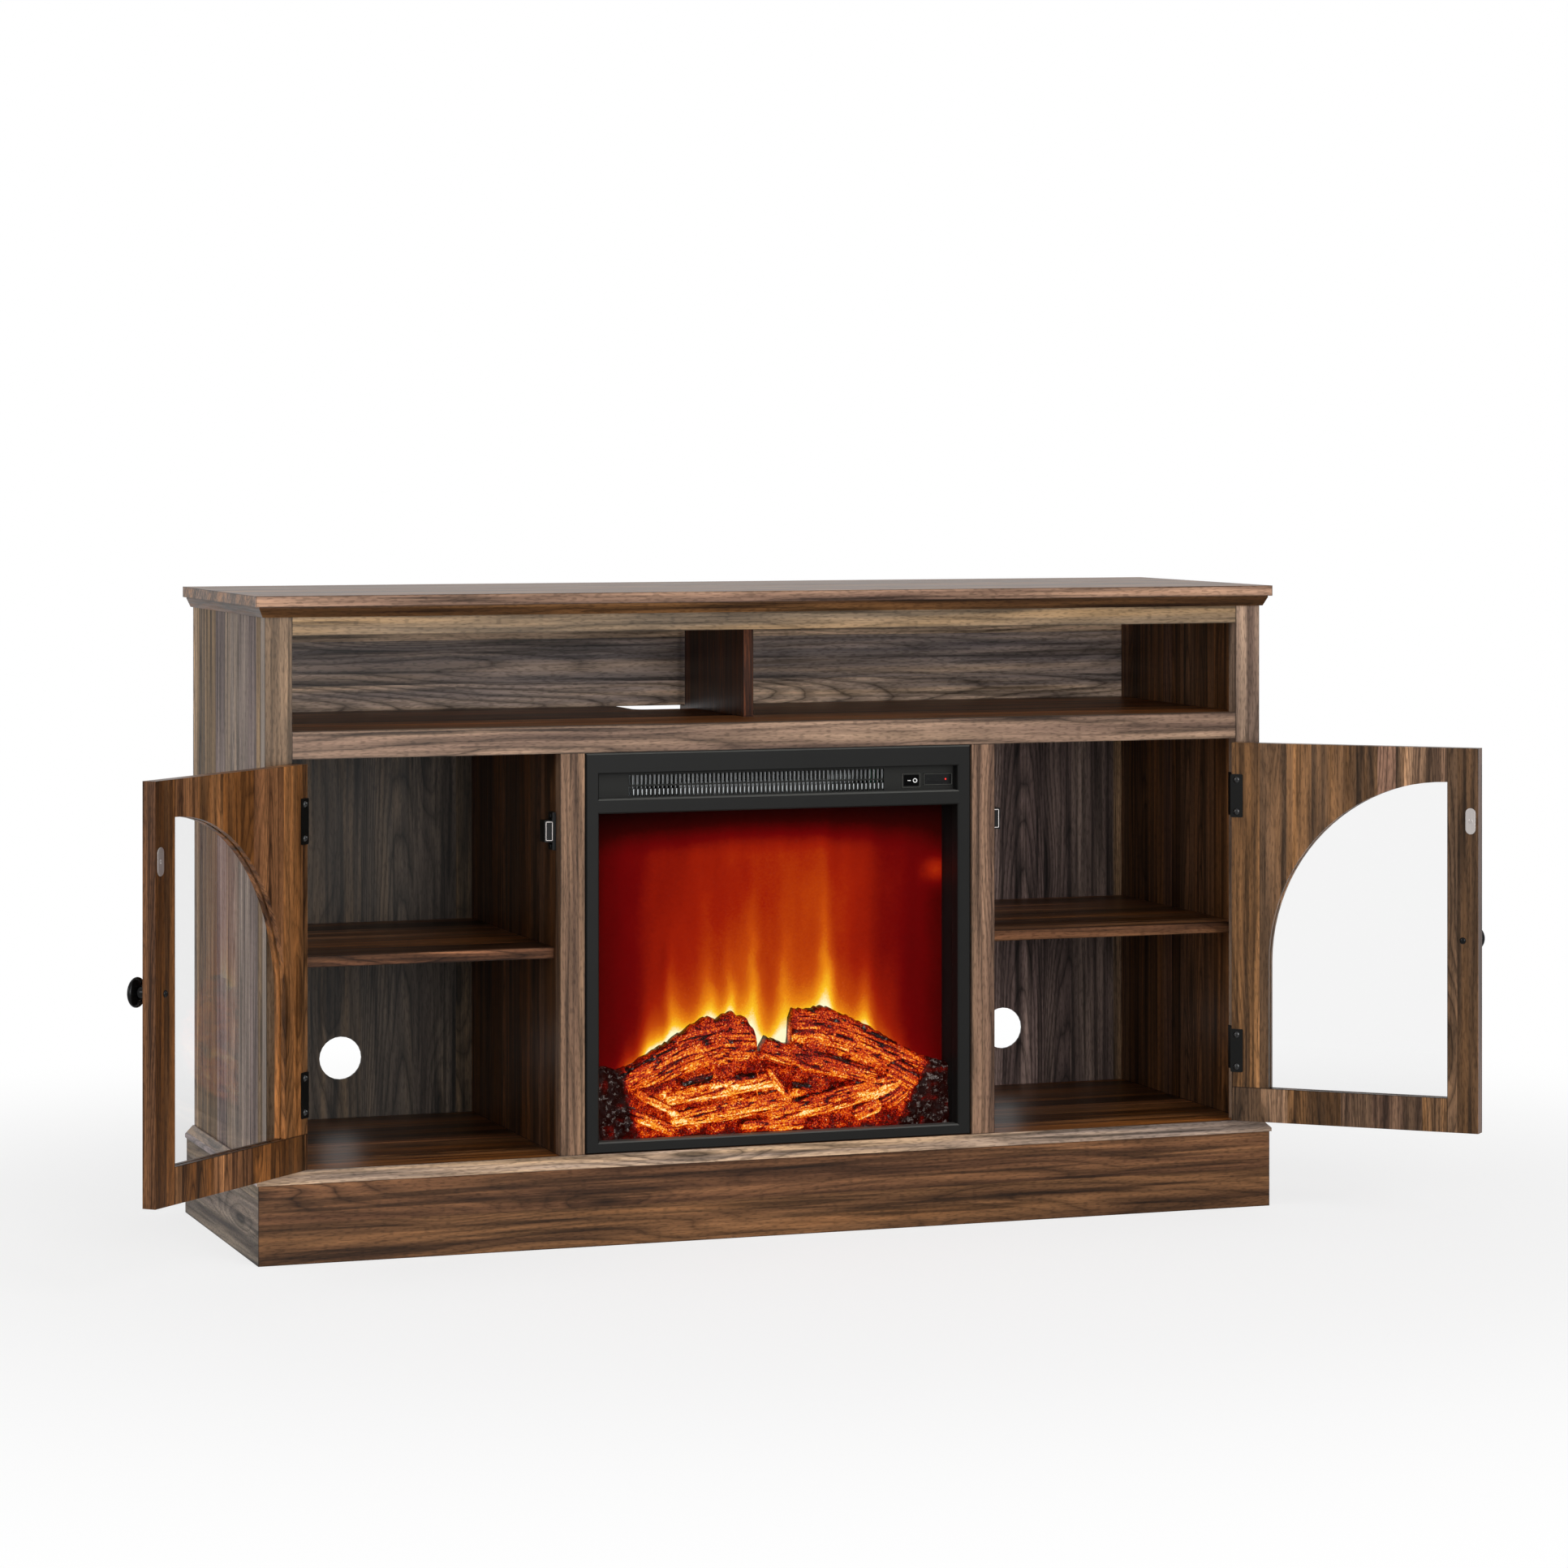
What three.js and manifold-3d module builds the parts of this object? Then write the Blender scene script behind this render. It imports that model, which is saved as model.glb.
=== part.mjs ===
// Fireplace television stand: a walnut-finish cabinet with a glazed door on each side of an electric
// fireplace insert. Millimetres, +Z up, front towards -Y. The origin lies on the floor, on the centre
// line, under the front plane of the face frame.

import * as THREE from 'three';
import { mergeVertices } from 'three/addons/utils/BufferGeometryUtils.js';
import Module from 'manifold-3d';

const wasm = await Module();
wasm.setup();

// Overall sizes, and the clear height of the upper compartments
const WIDTH = 1200;
const DEPTH = 400;
const UPPER_OPENING = 104.5;

// Insert face, a nominal 18 inch fireplace, and its gaps to the cabinet
const INSERT_WIDTH = 455.2;
const INSERT_HEIGHT = 444.4;
const INSERT_SIDE_GAP = 1.4;
const INSERT_TOP_GAP = 0.8;

// Clearance between pieces that are seated on each other, and one overrun for all cuts
const SEAT = 0.3;
const OVERRUN = 1;

// Carcass boards
const TOP_SIDE_OVERHANG = 12;
const TOP_FRONT_OVERHANG = 11;
const TOP_THICKNESS = 12;
const PANEL_THICKNESS = 15;
const BACK_THICKNESS = 3;
const FRAME_DEPTH = 20;
const STILE_WIDTH = 30;
const DIVIDER_STILE_WIDTH = 28;
const TOP_RAIL_SHOWN = 20;
const MIDDLE_RAIL_HEIGHT = 30;
const FLOOR_THICKNESS = 12;
const SHELF_THICKNESS = 12;
const SHELF_RISE = 228.5;
const SHELF_SETBACK = 27;

// Partition between the two upper compartments
const PARTITION_THICKNESS = 12;
const PARTITION_SETBACK = 120;
const PARTITION_REAR_GAP = 38;

// Mouldings, with their reach measured outwards from the carcass faces
const CROWN_HEIGHT = 11.5;
const CROWN_TOP_REACH = 7.75;
const CROWN_BOTTOM_REACH = 3;
const CROWN_LIP = 1.75;
const LEDGE_HEIGHT = 13.5;
const LEDGE_REACH = 11;
const LEDGE_LIP = 4;
const LEDGE_TOP_REACH = 2;

// Plinth
const BASE_HEIGHT = 87;
const BASE_REACH = 9;
const BASE_THICKNESS = 15;

// Cable openings: a round hole in each lower back and a notch in the upper floor
const CABLE_HOLE_DIAMETER = 50;
const CABLE_HOLE_RISE = 70;
const NOTCH_WIDTH = 80;
const NOTCH_DEPTH = 80;
const NOTCH_CORNER = 16;

// Doors
const DOOR_THICKNESS = 15.5;
const DOOR_TOP_GAP = 4;
const DOOR_BOTTOM_GAP = 2.5;
const DOOR_HINGE_GAP = 2.4;
const DOOR_FREE_GAP = 1.5;
const HINGE_SIDE_WIDTH = 45.1;
const KNOB_SIDE_WIDTH = 36.7;
const DOOR_RAIL_HEIGHT = 39;
const GLASS_THICKNESS = 4;
const GROOVE_DEPTH = 5;
const LEFT_DOOR_OPEN_DEG = 134;
const RIGHT_DOOR_OPEN_DEG = 137;

// Door hinges: a thin barrel at the front corner and a leaf that wraps the door's edge
const HINGE_HEIGHT = 50;
const HINGE_LEAF = 0.8;
const HINGE_LEAF_GAP = 0.5;
const FRAME_LEAF_DEPTH = 20;
const DOOR_LEAF_WIDTH = 15;
const BARREL_RADIUS = 2.4;
const HINGE_PIN_RADIUS = 1.2;
const HINGE_PIN_PLAY = 0.1;
const HINGE_PIN_INSET = 1.1;
const HINGE_PIN_FORWARD = 2.6;
const KNUCKLE_HEIGHT = 16;
const UPPER_HINGE_DROP = 61.5;
const LOWER_HINGE_RISE = 81.5;
const HINGE_CORNER = 1.5;

// Dome-headed screws of the hinges and the catches
const SCREW_HEAD_RADIUS = 3.8;
const SCREW_HEAD_HEIGHT = 1.8;
const SCREW_SHANK_RADIUS = 1.5;
const SCREW_LENGTH = 10;
const HINGE_SCREW_SPACING = 37;
const CATCH_SCREW_SPACING = 33;

// Knobs, each with the bolt that holds it
const KNOB_RADIUS = 17;
const KNOB_CAP_THICKNESS = 9;
const KNOB_PROJECTION = 24;
const KNOB_NECK_RADIUS = 5.5;
const KNOB_FOOT_RADIUS = 8.5;
const KNOB_FOOT_THICKNESS = 2.5;
const KNOB_BOLT_RADIUS = 2;
const KNOB_INSET = 18.2;

// Striker plates and magnetic catches
const STRIKER_WIDTH = 12;
const STRIKER_HEIGHT = 30;
const STRIKER_THICKNESS = 1;
const STRIKER_INSET = 9;
const CATCH_DROP = 83;
const CATCH_PLATE_THICKNESS = 4.4;
const CATCH_PLATE_HEIGHT = 42;
const CATCH_PLATE_DEPTH = 18;
const CATCH_BODY_THICKNESS = 9;
const CATCH_BODY_HEIGHT = 24;
const CATCH_BODY_DEPTH = 19;

// Insert front frame: its bars, its depth and its sheet
const FRAME_SIDE_BAR = 15.2;
const FRAME_BOTTOM_BAR = 12.4;
const FRAME_TOP_BAR = 23.2;
const RECESS_HEIGHT = 27.8;
const FRAME_MIDDLE_BAR = 16.4;
const FRAME_RETURN = 16;
const FRAME_SHEET = 1.5;
const FRAME_BEVEL = 1.5;

// Outlet panel behind the recess, with drops measured from the recess's middle
const PANEL_SHEET = 3;
const PANEL_LAP = 2;
const VENT_HEIGHT = 24;
const VENT_INSET = 39;
const VENT_SWITCH_GAP = 21.4;
const VENT_DROP = 0.8;
const COMB_PITCH = 5;
const COMB_TOOTH = 1.6;
const COMB_RAIL = 1.6;
const COMB_DEPTH = 2;
const WINDOW_WIDTH = 34.6;
const WINDOW_HEIGHT = 13.2;
const WINDOW_INSET = 18.8;
const WINDOW_DROP = 2.1;
const WINDOW_PROUD = 0.8;

// Rocker switch, whose body is snapped into the panel
const SWITCH_WIDTH = 22;
const SWITCH_HEIGHT = 16.5;
const SWITCH_INSET = 51.4;
const SWITCH_DROP = 2.8;
const SWITCH_BEZEL = 1.2;
const SWITCH_FLANGE = 1;
const SWITCH_BODY_DEPTH = 18;
const SWITCH_WALL = 0.8;
const ROCKER_GAP = 0.35;
const ROCKER_PROUD = 0.5;
const ROCKER_TILT_DEG = 9;

// Insert case and firebox
const CASE_DEPTH = 150;
const CASE_SHEET = 1.2;
const CASE_TOP_DROP = 1.4;
const FRONT_GLASS = 3;
const SCREEN_SETBACK = 54;
const SCREEN_THICKNESS = 2;
const SHIELD_RISE = 5;
const SHIELD_SETBACK = 20;

// Heating element, tangential blower and its motor
const HEATER_LENGTH = 180;
const HEATER_HEIGHT = 24;
const HEATER_DEPTH = 14;
const HEATER_SETBACK = 30;
const HEATER_OFFSET = 22;
const ROTOR_LENGTH = 190;
const ROTOR_RADIUS = 19;
const ROTOR_DISC = 2;
const ROTOR_BLADES = 14;
const ROTOR_BLADE_WIDTH = 7;
const ROTOR_BLADE_THICKNESS = 1.2;
const ROTOR_SETBACK = 84;
const SHAFT_RADIUS = 2;
const SHAFT_PLAY = 0.1;
const END_PLATE_THICKNESS = 1.5;
const END_PLATE_GAP = 3;
const MOTOR_RADIUS = 20;
const MOTOR_LENGTH = 30;

// Flame effect: spindle with reflector vanes, its motor and the lamp board
const SPINDLE_RADIUS = 2;
const SPINDLE_SETBACK = 92;
const SPINDLE_RISE = 48;
const VANE_COUNT = 9;
const VANE_LENGTH = 34;
const VANE_WIDTH = 26;
const VANE_THICKNESS = 0.8;
const VANE_TURN_DEG = 50;
const SPINDLE_MOTOR_RADIUS = 24;
const SPINDLE_MOTOR_LENGTH = 18;
const LAMP_BOARD_LENGTH = 340;
const LAMP_BOARD_DEPTH = 14;
const LAMP_BOARD_SETBACK = 62;
const BOARD_THICKNESS = 1.6;
const LAMP_COUNT = 12;
const LAMP_SIZE = 5;
const LAMP_HEIGHT = 2;

// Control board, back cover and cord gland
const CONTROL_BOARD_WIDTH = 80;
const CONTROL_BOARD_HEIGHT = 46;
const CONTROL_BOARD_SETBACK = 60;
const CONTROL_BOARD_INSET = 8;
const COVER_SLOT_COUNT = 8;
const COVER_SLOT_LENGTH = 150;
const COVER_SLOT_HEIGHT = 4;
const COVER_SLOT_PITCH = 9;
const COVER_SLOT_DROP = 22;
const GLAND_RADIUS = 6;
const GLAND_FLANGE_RADIUS = 9;
const GLAND_FLANGE = 2.5;
const GLAND_LENGTH = 12;
const GLAND_BORE_RADIUS = 3;
const GLAND_INSET = 34;
const GLAND_RISE = 26;

// Log set: an ember bed with a mound behind, logs that lean on it, and charcoal in both corners
const EMBER_BED_HEIGHT = 26;
const LOG_SET_HEIGHT = 135;
const MOUND_SETBACK = 10;
const LOG_SIDES = 12;
const LOG_RINGS = 6;
const LOG_RIDGES = 5;
const LOG_TWIST_DEG = 500;
const LOG_RIDGE_SHARE = 0.1;
const LOG_FLAT_SHARE = 0.55;

// Sides of round pieces, of slender rods and of screws, and steps of a quarter round
const ROUND_SIDES = 24;
const SLENDER_RADIUS = 3;
const SLENDER_SIDES = 16;
const SCREW_SIDES = 10;
const DOME_STEPS = 3;

// Planes and places of the cabinet
const carcassHalf = WIDTH / 2 - TOP_SIDE_OVERHANG;
const panelInner = carcassHalf - PANEL_THICKNESS;
const stileInner = carcassHalf - STILE_WIDTH;
const rearFace = DEPTH - TOP_FRONT_OVERHANG;
const carcassRear = rearFace - BACK_THICKNESS;
const floorTop = BASE_HEIGHT + LEDGE_HEIGHT;
const railBottom = floorTop + SEAT + INSERT_HEIGHT + INSERT_TOP_GAP;
const upperFloorTop = railBottom + MIDDLE_RAIL_HEIGHT;
const upperFloorBottom = upperFloorTop - FLOOR_THICKNESS;
const topRailBottom = upperFloorTop + UPPER_OPENING;
const crownBottom = topRailBottom + TOP_RAIL_SHOWN;
const topUnderside = crownBottom + CROWN_HEIGHT;
const topFace = topUnderside + TOP_THICKNESS;
const dividerOuter = INSERT_WIDTH / 2 + INSERT_SIDE_GAP + DIVIDER_STILE_WIDTH;
const dividerInner = dividerOuter - PANEL_THICKNESS;
const shelfTop = floorTop + SHELF_RISE;
const baseHalf = carcassHalf + BASE_REACH;

// Planes of the insert
const insertHalf = INSERT_WIDTH / 2;
const insertBottom = floorTop + SEAT;
const insertTop = insertBottom + INSERT_HEIGHT;
const faceInner = insertHalf - FRAME_SIDE_BAR;
const screenSill = insertBottom + FRAME_BOTTOM_BAR;
const recessTop = insertTop - FRAME_TOP_BAR;
const recessBottom = recessTop - RECESS_HEIGHT;
const recessMiddle = (recessBottom + recessTop) / 2;
const screenHead = recessBottom - FRAME_MIDDLE_BAR;
const caseTop = insertTop - CASE_TOP_DROP;
const caseOuter = faceInner + FRAME_SHEET;
const caseInner = caseOuter - CASE_SHEET;
const caseFloor = insertBottom + CASE_SHEET;
const caseFront = FRAME_RETURN + SEAT;
const caseRear = CASE_DEPTH - CASE_SHEET - SEAT;
const linerFit = caseInner - SEAT;
const shieldBottom = screenHead + SHIELD_RISE;
const shieldTop = shieldBottom + CASE_SHEET;

// Finishes
const finish = (color, roughness, metalness = 0, extra = {}) =>
  new THREE.MeshStandardMaterial({ color, roughness, metalness, ...extra });
const walnut = finish('#8a6a50', 0.55);
const walnutDark = finish('#5b3f2b', 0.6);
const clearGlass = finish('#dfe8ea', 0.05, 0, { transparent: true, opacity: 0.25 });
const blackSteel = finish('#2b2b29', 0.5, 0.6);
const blackPlastic = finish('#1c1c1c', 0.45);
const brightSteel = finish('#b8b8b4', 0.3, 1);
const greySteel = finish('#7d7f80', 0.45, 0.9);
const ember = finish('#a03c12', 0.9, 0, { emissive: '#5a1600' });
const flame = finish('#c23a08', 0.6, 0, { emissive: '#a02000' });
const boardGreen = finish('#20503a', 0.6);
const ceramic = finish('#c9c4b8', 0.7);

const model = new THREE.Group();

function addMesh(parent, name, geometry, material) {
  const mesh = new THREE.Mesh(geometry, material);
  mesh.name = name;
  parent.add(mesh);
  return mesh;
}

// Box between two corners. Each vertex takes a corner's own value, so faces that meet stay flush.
function boxGeometry([x0, y0, z0], [x1, y1, z1]) {
  const geometry = new THREE.BoxGeometry(1, 1, 1);
  const place = geometry.attributes.position;
  for (let i = 0; i < place.count; i += 1) {
    const x = place.getX(i) > 0 ? x1 : x0;
    const y = place.getY(i) > 0 ? y1 : y0;
    const z = place.getZ(i) > 0 ? z1 : z0;
    place.setXYZ(i, x, y, z);
  }
  return geometry;
}

function board(name, low, high, material = walnut) {
  return addMesh(model, name, boxGeometry(low, high), material);
}

// Closed geometry to a solid that can be joined and cut, and back
function toSolid(geometry) {
  const bare = geometry.clone();
  bare.deleteAttribute('normal');
  bare.deleteAttribute('uv');
  const merged = mergeVertices(bare);
  return new wasm.Manifold(new wasm.Mesh({
    numProp: 3,
    vertProperties: new Float32Array(merged.attributes.position.array),
    triVerts: new Uint32Array(merged.index.array),
  }));
}

function toGeometry(solid) {
  const mesh = solid.getMesh();
  const geometry = new THREE.BufferGeometry();
  geometry.setAttribute('position', new THREE.BufferAttribute(mesh.vertProperties, mesh.numProp));
  geometry.setIndex(new THREE.BufferAttribute(mesh.triVerts, 1));
  return geometry;
}

const boxSolid = (low, high) => toSolid(boxGeometry(low, high));
const joinAll = (solids) => solids.reduce((whole, piece) => whole.add(piece));
const cutAll = (solid, cuts) => cuts.reduce((rest, cut) => rest.subtract(cut), solid);
const inOrder = (a, b) => [Math.min(a, b), Math.max(a, b)];

// Block seen from the front: middle and half sizes across X and Z, and its span along Y
function faceBlock([x, z], [halfX, halfZ], [y0, y1]) {
  return boxSolid([x - halfX, y0, z - halfZ], [x + halfX, y1, z + halfZ]);
}

// Outline in the X-Z plane, carried along Y from y0 to y1
function slabGeometry(shape, y0, y1, bevel = 0) {
  const geometry = new THREE.ExtrudeGeometry(shape, {
    depth: y1 - y0 - 2 * bevel,
    bevelEnabled: bevel > 0,
    bevelThickness: bevel,
    bevelSize: bevel,
    bevelOffset: -bevel,
    bevelSegments: 1,
    curveSegments: ROUND_SIDES / 4,
  });
  geometry.rotateX(Math.PI / 2);
  geometry.translate(0, y1 - bevel, 0);
  return geometry;
}

function rectangle(shape, x0, z0, x1, z1) {
  shape.moveTo(x0, z0);
  shape.lineTo(x1, z0);
  shape.lineTo(x1, z1);
  shape.lineTo(x0, z1);
  shape.closePath();
  return shape;
}

function roundedRectangle([x, z], [halfX, halfZ], radius) {
  const shape = new THREE.Shape();
  const quarter = Math.PI / 2;
  const corners = [[1, -1], [1, 1], [-1, 1], [-1, -1]];
  corners.forEach(([signX, signZ], i) => {
    const centreX = x + signX * (halfX - radius);
    const centreZ = z + signZ * (halfZ - radius);
    shape.absarc(centreX, centreZ, radius, (i - 1) * quarter, i * quarter);
  });
  return shape;
}

// Round bar between two stations on the X, Y or Z axis, about a centre in the other two
function rodSolid(axis, radius, [from, to], centre) {
  const sides = radius < SLENDER_RADIUS ? SLENDER_SIDES : ROUND_SIDES;
  const geometry = new THREE.CylinderGeometry(radius, radius, to - from, sides);
  const middle = (from + to) / 2;
  if (axis === 'x') {
    geometry.rotateZ(Math.PI / 2);
    geometry.translate(middle, centre[0], centre[1]);
  } else if (axis === 'y') {
    geometry.translate(centre[0], middle, centre[1]);
  } else {
    geometry.rotateX(Math.PI / 2);
    geometry.translate(centre[0], centre[1], middle);
  }
  return toSolid(geometry);
}

// Turned shape: the profile lists radius and distance from the start along the direction
function turnedSolid(profile, start, direction, sides) {
  const points = profile.map(([radius, along]) => new THREE.Vector2(radius, along));
  const geometry = new THREE.LatheGeometry(points, sides);
  const upright = new THREE.Vector3(0, 1, 0);
  const turn = new THREE.Quaternion().setFromUnitVectors(upright, new THREE.Vector3(...direction));
  geometry.applyQuaternion(turn);
  geometry.translate(...start);
  return toSolid(geometry);
}

// Quarter of an ellipse from the rim to the axis, as a turned profile that starts at a height
function domeProfile(radius, height, base) {
  const points = [];
  for (let i = 0; i < DOME_STEPS; i += 1) {
    const turn = (i / DOME_STEPS) * (Math.PI / 2);
    points.push([radius * Math.cos(turn), base + height * Math.sin(turn)]);
  }
  points.push([0, base + height]);
  return points;
}

// Dome-headed screw whose head sits on the start, and the hole that clears its shank
function screwSolid(start, direction) {
  const shank = [[0, -SCREW_LENGTH], [SCREW_SHANK_RADIUS, -SCREW_LENGTH], [SCREW_SHANK_RADIUS, 0]];
  const profile = [...shank, ...domeProfile(SCREW_HEAD_RADIUS, SCREW_HEAD_HEIGHT, 0)];
  return turnedSolid(profile, start, direction, SCREW_SIDES);
}

function screwHole(start, direction) {
  const radius = SCREW_SHANK_RADIUS + SEAT;
  const length = SCREW_LENGTH + SEAT;
  const profile = [[0, -length], [radius, -length], [radius, OVERRUN], [0, OVERRUN]];
  return turnedSolid(profile, start, direction, SCREW_SIDES);
}

// Moulding that runs round the left side, the front and the right side, mitred at the two front
// corners. The profile lists reach outwards from the carcass and height.
function mitredMoulding(profile) {
  const stations = [
    (reach) => [-carcassHalf - reach, rearFace],
    (reach) => [-carcassHalf - reach, -reach],
    (reach) => [carcassHalf + reach, -reach],
    (reach) => [carcassHalf + reach, rearFace],
  ];
  const positions = stations.flatMap((at) => profile.flatMap(([reach, z]) => [...at(reach), z]));
  const count = profile.length;
  const index = [];
  for (let s = 0; s + 1 < stations.length; s += 1) {
    for (let i = 0; i < count; i += 1) {
      const a = s * count + i;
      const b = s * count + ((i + 1) % count);
      index.push(a, a + count, b, b, a + count, b + count);
    }
  }
  const outline = profile.map(([reach, z]) => new THREE.Vector2(reach, z));
  const last = (stations.length - 1) * count;
  for (const [a, b, c] of THREE.ShapeUtils.triangulateShape(outline, [])) {
    index.push(a, b, c);
    index.push(last + a, last + c, last + b);
  }
  const geometry = new THREE.BufferGeometry();
  geometry.setAttribute('position', new THREE.Float32BufferAttribute(positions, 3));
  geometry.setIndex(index);
  return geometry;
}

// Cabinet

function addCarcass() {
  board('top_board', [-WIDTH / 2, -TOP_FRONT_OVERHANG, topUnderside], [WIDTH / 2, rearFace, topFace]);
  board('bottom_board', [-carcassHalf, 0, BASE_HEIGHT], [carcassHalf, carcassRear, floorTop]);
  board('top_rail', [-stileInner, 0, topRailBottom], [stileInner, FRAME_DEPTH, topUnderside]);
  board('middle_rail', [-stileInner, 0, railBottom], [stileInner, FRAME_DEPTH, upperFloorTop]);
  board(
    'upper_partition',
    [-PARTITION_THICKNESS / 2, PARTITION_SETBACK, upperFloorTop],
    [PARTITION_THICKNESS / 2, carcassRear - PARTITION_REAR_GAP, topUnderside],
  );
  board(
    'back_panel_upper',
    [-carcassHalf, carcassRear, upperFloorTop],
    [carcassHalf, rearFace, topUnderside],
    walnutDark,
  );
  addUpperFloor();
  addCarcassSide(-1, 'left');
  addCarcassSide(1, 'right');
}

function addCarcassSide(side, label) {
  const [panelLow, panelHigh] = inOrder(side * panelInner, side * carcassHalf);
  board(
    `side_panel_${label}`,
    [panelLow, FRAME_DEPTH, floorTop],
    [panelHigh, carcassRear, topUnderside],
  );
  const [stileLow, stileHigh] = inOrder(side * stileInner, side * carcassHalf);
  board(`stile_${label}`, [stileLow, 0, floorTop], [stileHigh, FRAME_DEPTH, topUnderside]);
  const [shelfLow, shelfHigh] = inOrder(side * dividerOuter, side * panelInner);
  board(
    `shelf_${label}`,
    [shelfLow, SHELF_SETBACK, shelfTop - SHELF_THICKNESS],
    [shelfHigh, carcassRear, shelfTop],
    walnutDark,
  );
  addDivider(side, label);
  addLowerBack(side, label);
}

function addDivider(side, label) {
  const [low, high] = inOrder(side * dividerInner, side * dividerOuter);
  const panel = boxSolid([low, FRAME_DEPTH, floorTop], [high, carcassRear, upperFloorBottom]);
  const holes = catchScrewPlaces(side).map((place) => screwHole(place, [side, 0, 0]));
  addMesh(model, `divider_${label}`, toGeometry(cutAll(panel, holes)), walnut);
  const [stileLow, stileHigh] = inOrder(
    side * (dividerOuter - DIVIDER_STILE_WIDTH),
    side * dividerOuter,
  );
  board(`divider_stile_${label}`, [stileLow, 0, floorTop], [stileHigh, FRAME_DEPTH, railBottom]);
}

// One outline with its cable notch, which is measured from the cabinet's centre line towards the left
function addUpperFloor() {
  const near = carcassRear - NOTCH_DEPTH;
  const arcY = near + NOTCH_CORNER;
  const outline = new THREE.Shape();
  outline.moveTo(NOTCH_CORNER - NOTCH_WIDTH, near);
  outline.absarc(NOTCH_CORNER - NOTCH_WIDTH, arcY, NOTCH_CORNER, -Math.PI / 2, -Math.PI, true);
  outline.lineTo(-NOTCH_WIDTH, carcassRear);
  outline.lineTo(-panelInner, carcassRear);
  outline.lineTo(-panelInner, FRAME_DEPTH);
  outline.lineTo(panelInner, FRAME_DEPTH);
  outline.lineTo(panelInner, carcassRear);
  outline.lineTo(0, carcassRear);
  outline.lineTo(0, arcY);
  outline.absarc(-NOTCH_CORNER, arcY, NOTCH_CORNER, 0, -Math.PI / 2, true);
  const geometry = new THREE.ExtrudeGeometry(outline, {
    depth: FLOOR_THICKNESS,
    bevelEnabled: false,
    curveSegments: ROUND_SIDES / 4,
  });
  geometry.translate(0, 0, upperFloorBottom);
  addMesh(model, 'upper_floor', geometry, walnutDark);
}

function addLowerBack(side, label) {
  const [low, high] = inOrder(side * dividerInner, side * carcassHalf);
  const sheet = boxSolid([low, carcassRear, BASE_HEIGHT], [high, rearFace, upperFloorTop]);
  const through = [carcassRear - OVERRUN, rearFace + OVERRUN];
  const centre = [(low + high) / 2, floorTop + CABLE_HOLE_RISE];
  const hole = rodSolid('y', CABLE_HOLE_DIAMETER / 2, through, centre);
  addMesh(model, `back_panel_${label}`, toGeometry(sheet.subtract(hole)), walnutDark);
}

function addMouldings() {
  const crown = mitredMoulding([
    [0, crownBottom],
    [CROWN_BOTTOM_REACH, crownBottom],
    [CROWN_TOP_REACH, topUnderside - CROWN_LIP],
    [CROWN_TOP_REACH, topUnderside],
    [0, topUnderside],
  ]);
  addMesh(model, 'crown_moulding', crown, walnut);
  const ledge = mitredMoulding([
    [0, BASE_HEIGHT],
    [LEDGE_REACH, BASE_HEIGHT],
    [LEDGE_REACH, BASE_HEIGHT + LEDGE_LIP],
    [LEDGE_TOP_REACH, floorTop],
    [0, floorTop],
  ]);
  addMesh(model, 'ledge_moulding', ledge, walnut);
}

// Plinth boards, drawn in plan and mitred at the front corners
function addPlinth() {
  const inner = baseHalf - BASE_THICKNESS;
  const front = -BASE_REACH;
  const frontInner = front + BASE_THICKNESS;
  const plans = {
    base_front: [[-baseHalf, front], [baseHalf, front], [inner, frontInner], [-inner, frontInner]],
    base_left: [[-baseHalf, front], [-inner, frontInner], [-inner, rearFace], [-baseHalf, rearFace]],
    base_right: [[baseHalf, front], [baseHalf, rearFace], [inner, rearFace], [inner, frontInner]],
  };
  for (const [name, plan] of Object.entries(plans)) {
    const shape = new THREE.Shape(plan.map(([x, y]) => new THREE.Vector2(x, y)));
    const geometry = new THREE.ExtrudeGeometry(shape, { depth: BASE_HEIGHT, bevelEnabled: false });
    addMesh(model, name, geometry, walnut);
  }
  const rear = rearFace - BASE_THICKNESS;
  board('base_back', [-inner, rear, 0], [inner, rearFace, BASE_HEIGHT], walnutDark);
}

// Doors. Distances u run from the stile's inner edge towards the middle of the cabinet.

const doorway = stileInner - dividerOuter;
const door = {
  hingeEdge: DOOR_HINGE_GAP,
  freeEdge: doorway - DOOR_FREE_GAP,
  bottom: floorTop + DOOR_BOTTOM_GAP,
  top: railBottom - DOOR_TOP_GAP,
};
door.middle = (door.bottom + door.top) / 2;
const archHinge = door.hingeEdge + HINGE_SIDE_WIDTH;
const archKnob = door.freeEdge - KNOB_SIDE_WIDTH;
const archSill = door.bottom + DOOR_RAIL_HEIGHT;
const archCrown = door.top - DOOR_RAIL_HEIGHT;
const archRadius = archKnob - archHinge;
const innerSeat = DOOR_THICKNESS + SEAT;
const catchZ = door.top - CATCH_DROP;
const catchFront = innerSeat + STRIKER_THICKNESS + SEAT;
const hingeHeights = {
  upper: door.top - UPPER_HINGE_DROP,
  lower: door.bottom + LOWER_HINGE_RISE,
};

// Quarter-arch outline, grown outwards by a margin: straight at the knob side, round at the other
function archOutline(across, margin) {
  const points = [
    [archHinge - margin, archSill - margin],
    [archKnob + margin, archSill - margin],
    [archKnob + margin, archCrown + margin],
  ];
  for (let i = 0; i <= ROUND_SIDES; i += 1) {
    const turn = (Math.PI / 2) * (1 + i / ROUND_SIDES);
    const radius = archRadius + margin;
    const centreZ = archCrown - archRadius;
    points.push([archKnob + radius * Math.cos(turn), centreZ + radius * Math.sin(turn)]);
  }
  return new THREE.Shape(points.map(([u, z]) => new THREE.Vector2(across(u), z)));
}

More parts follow.
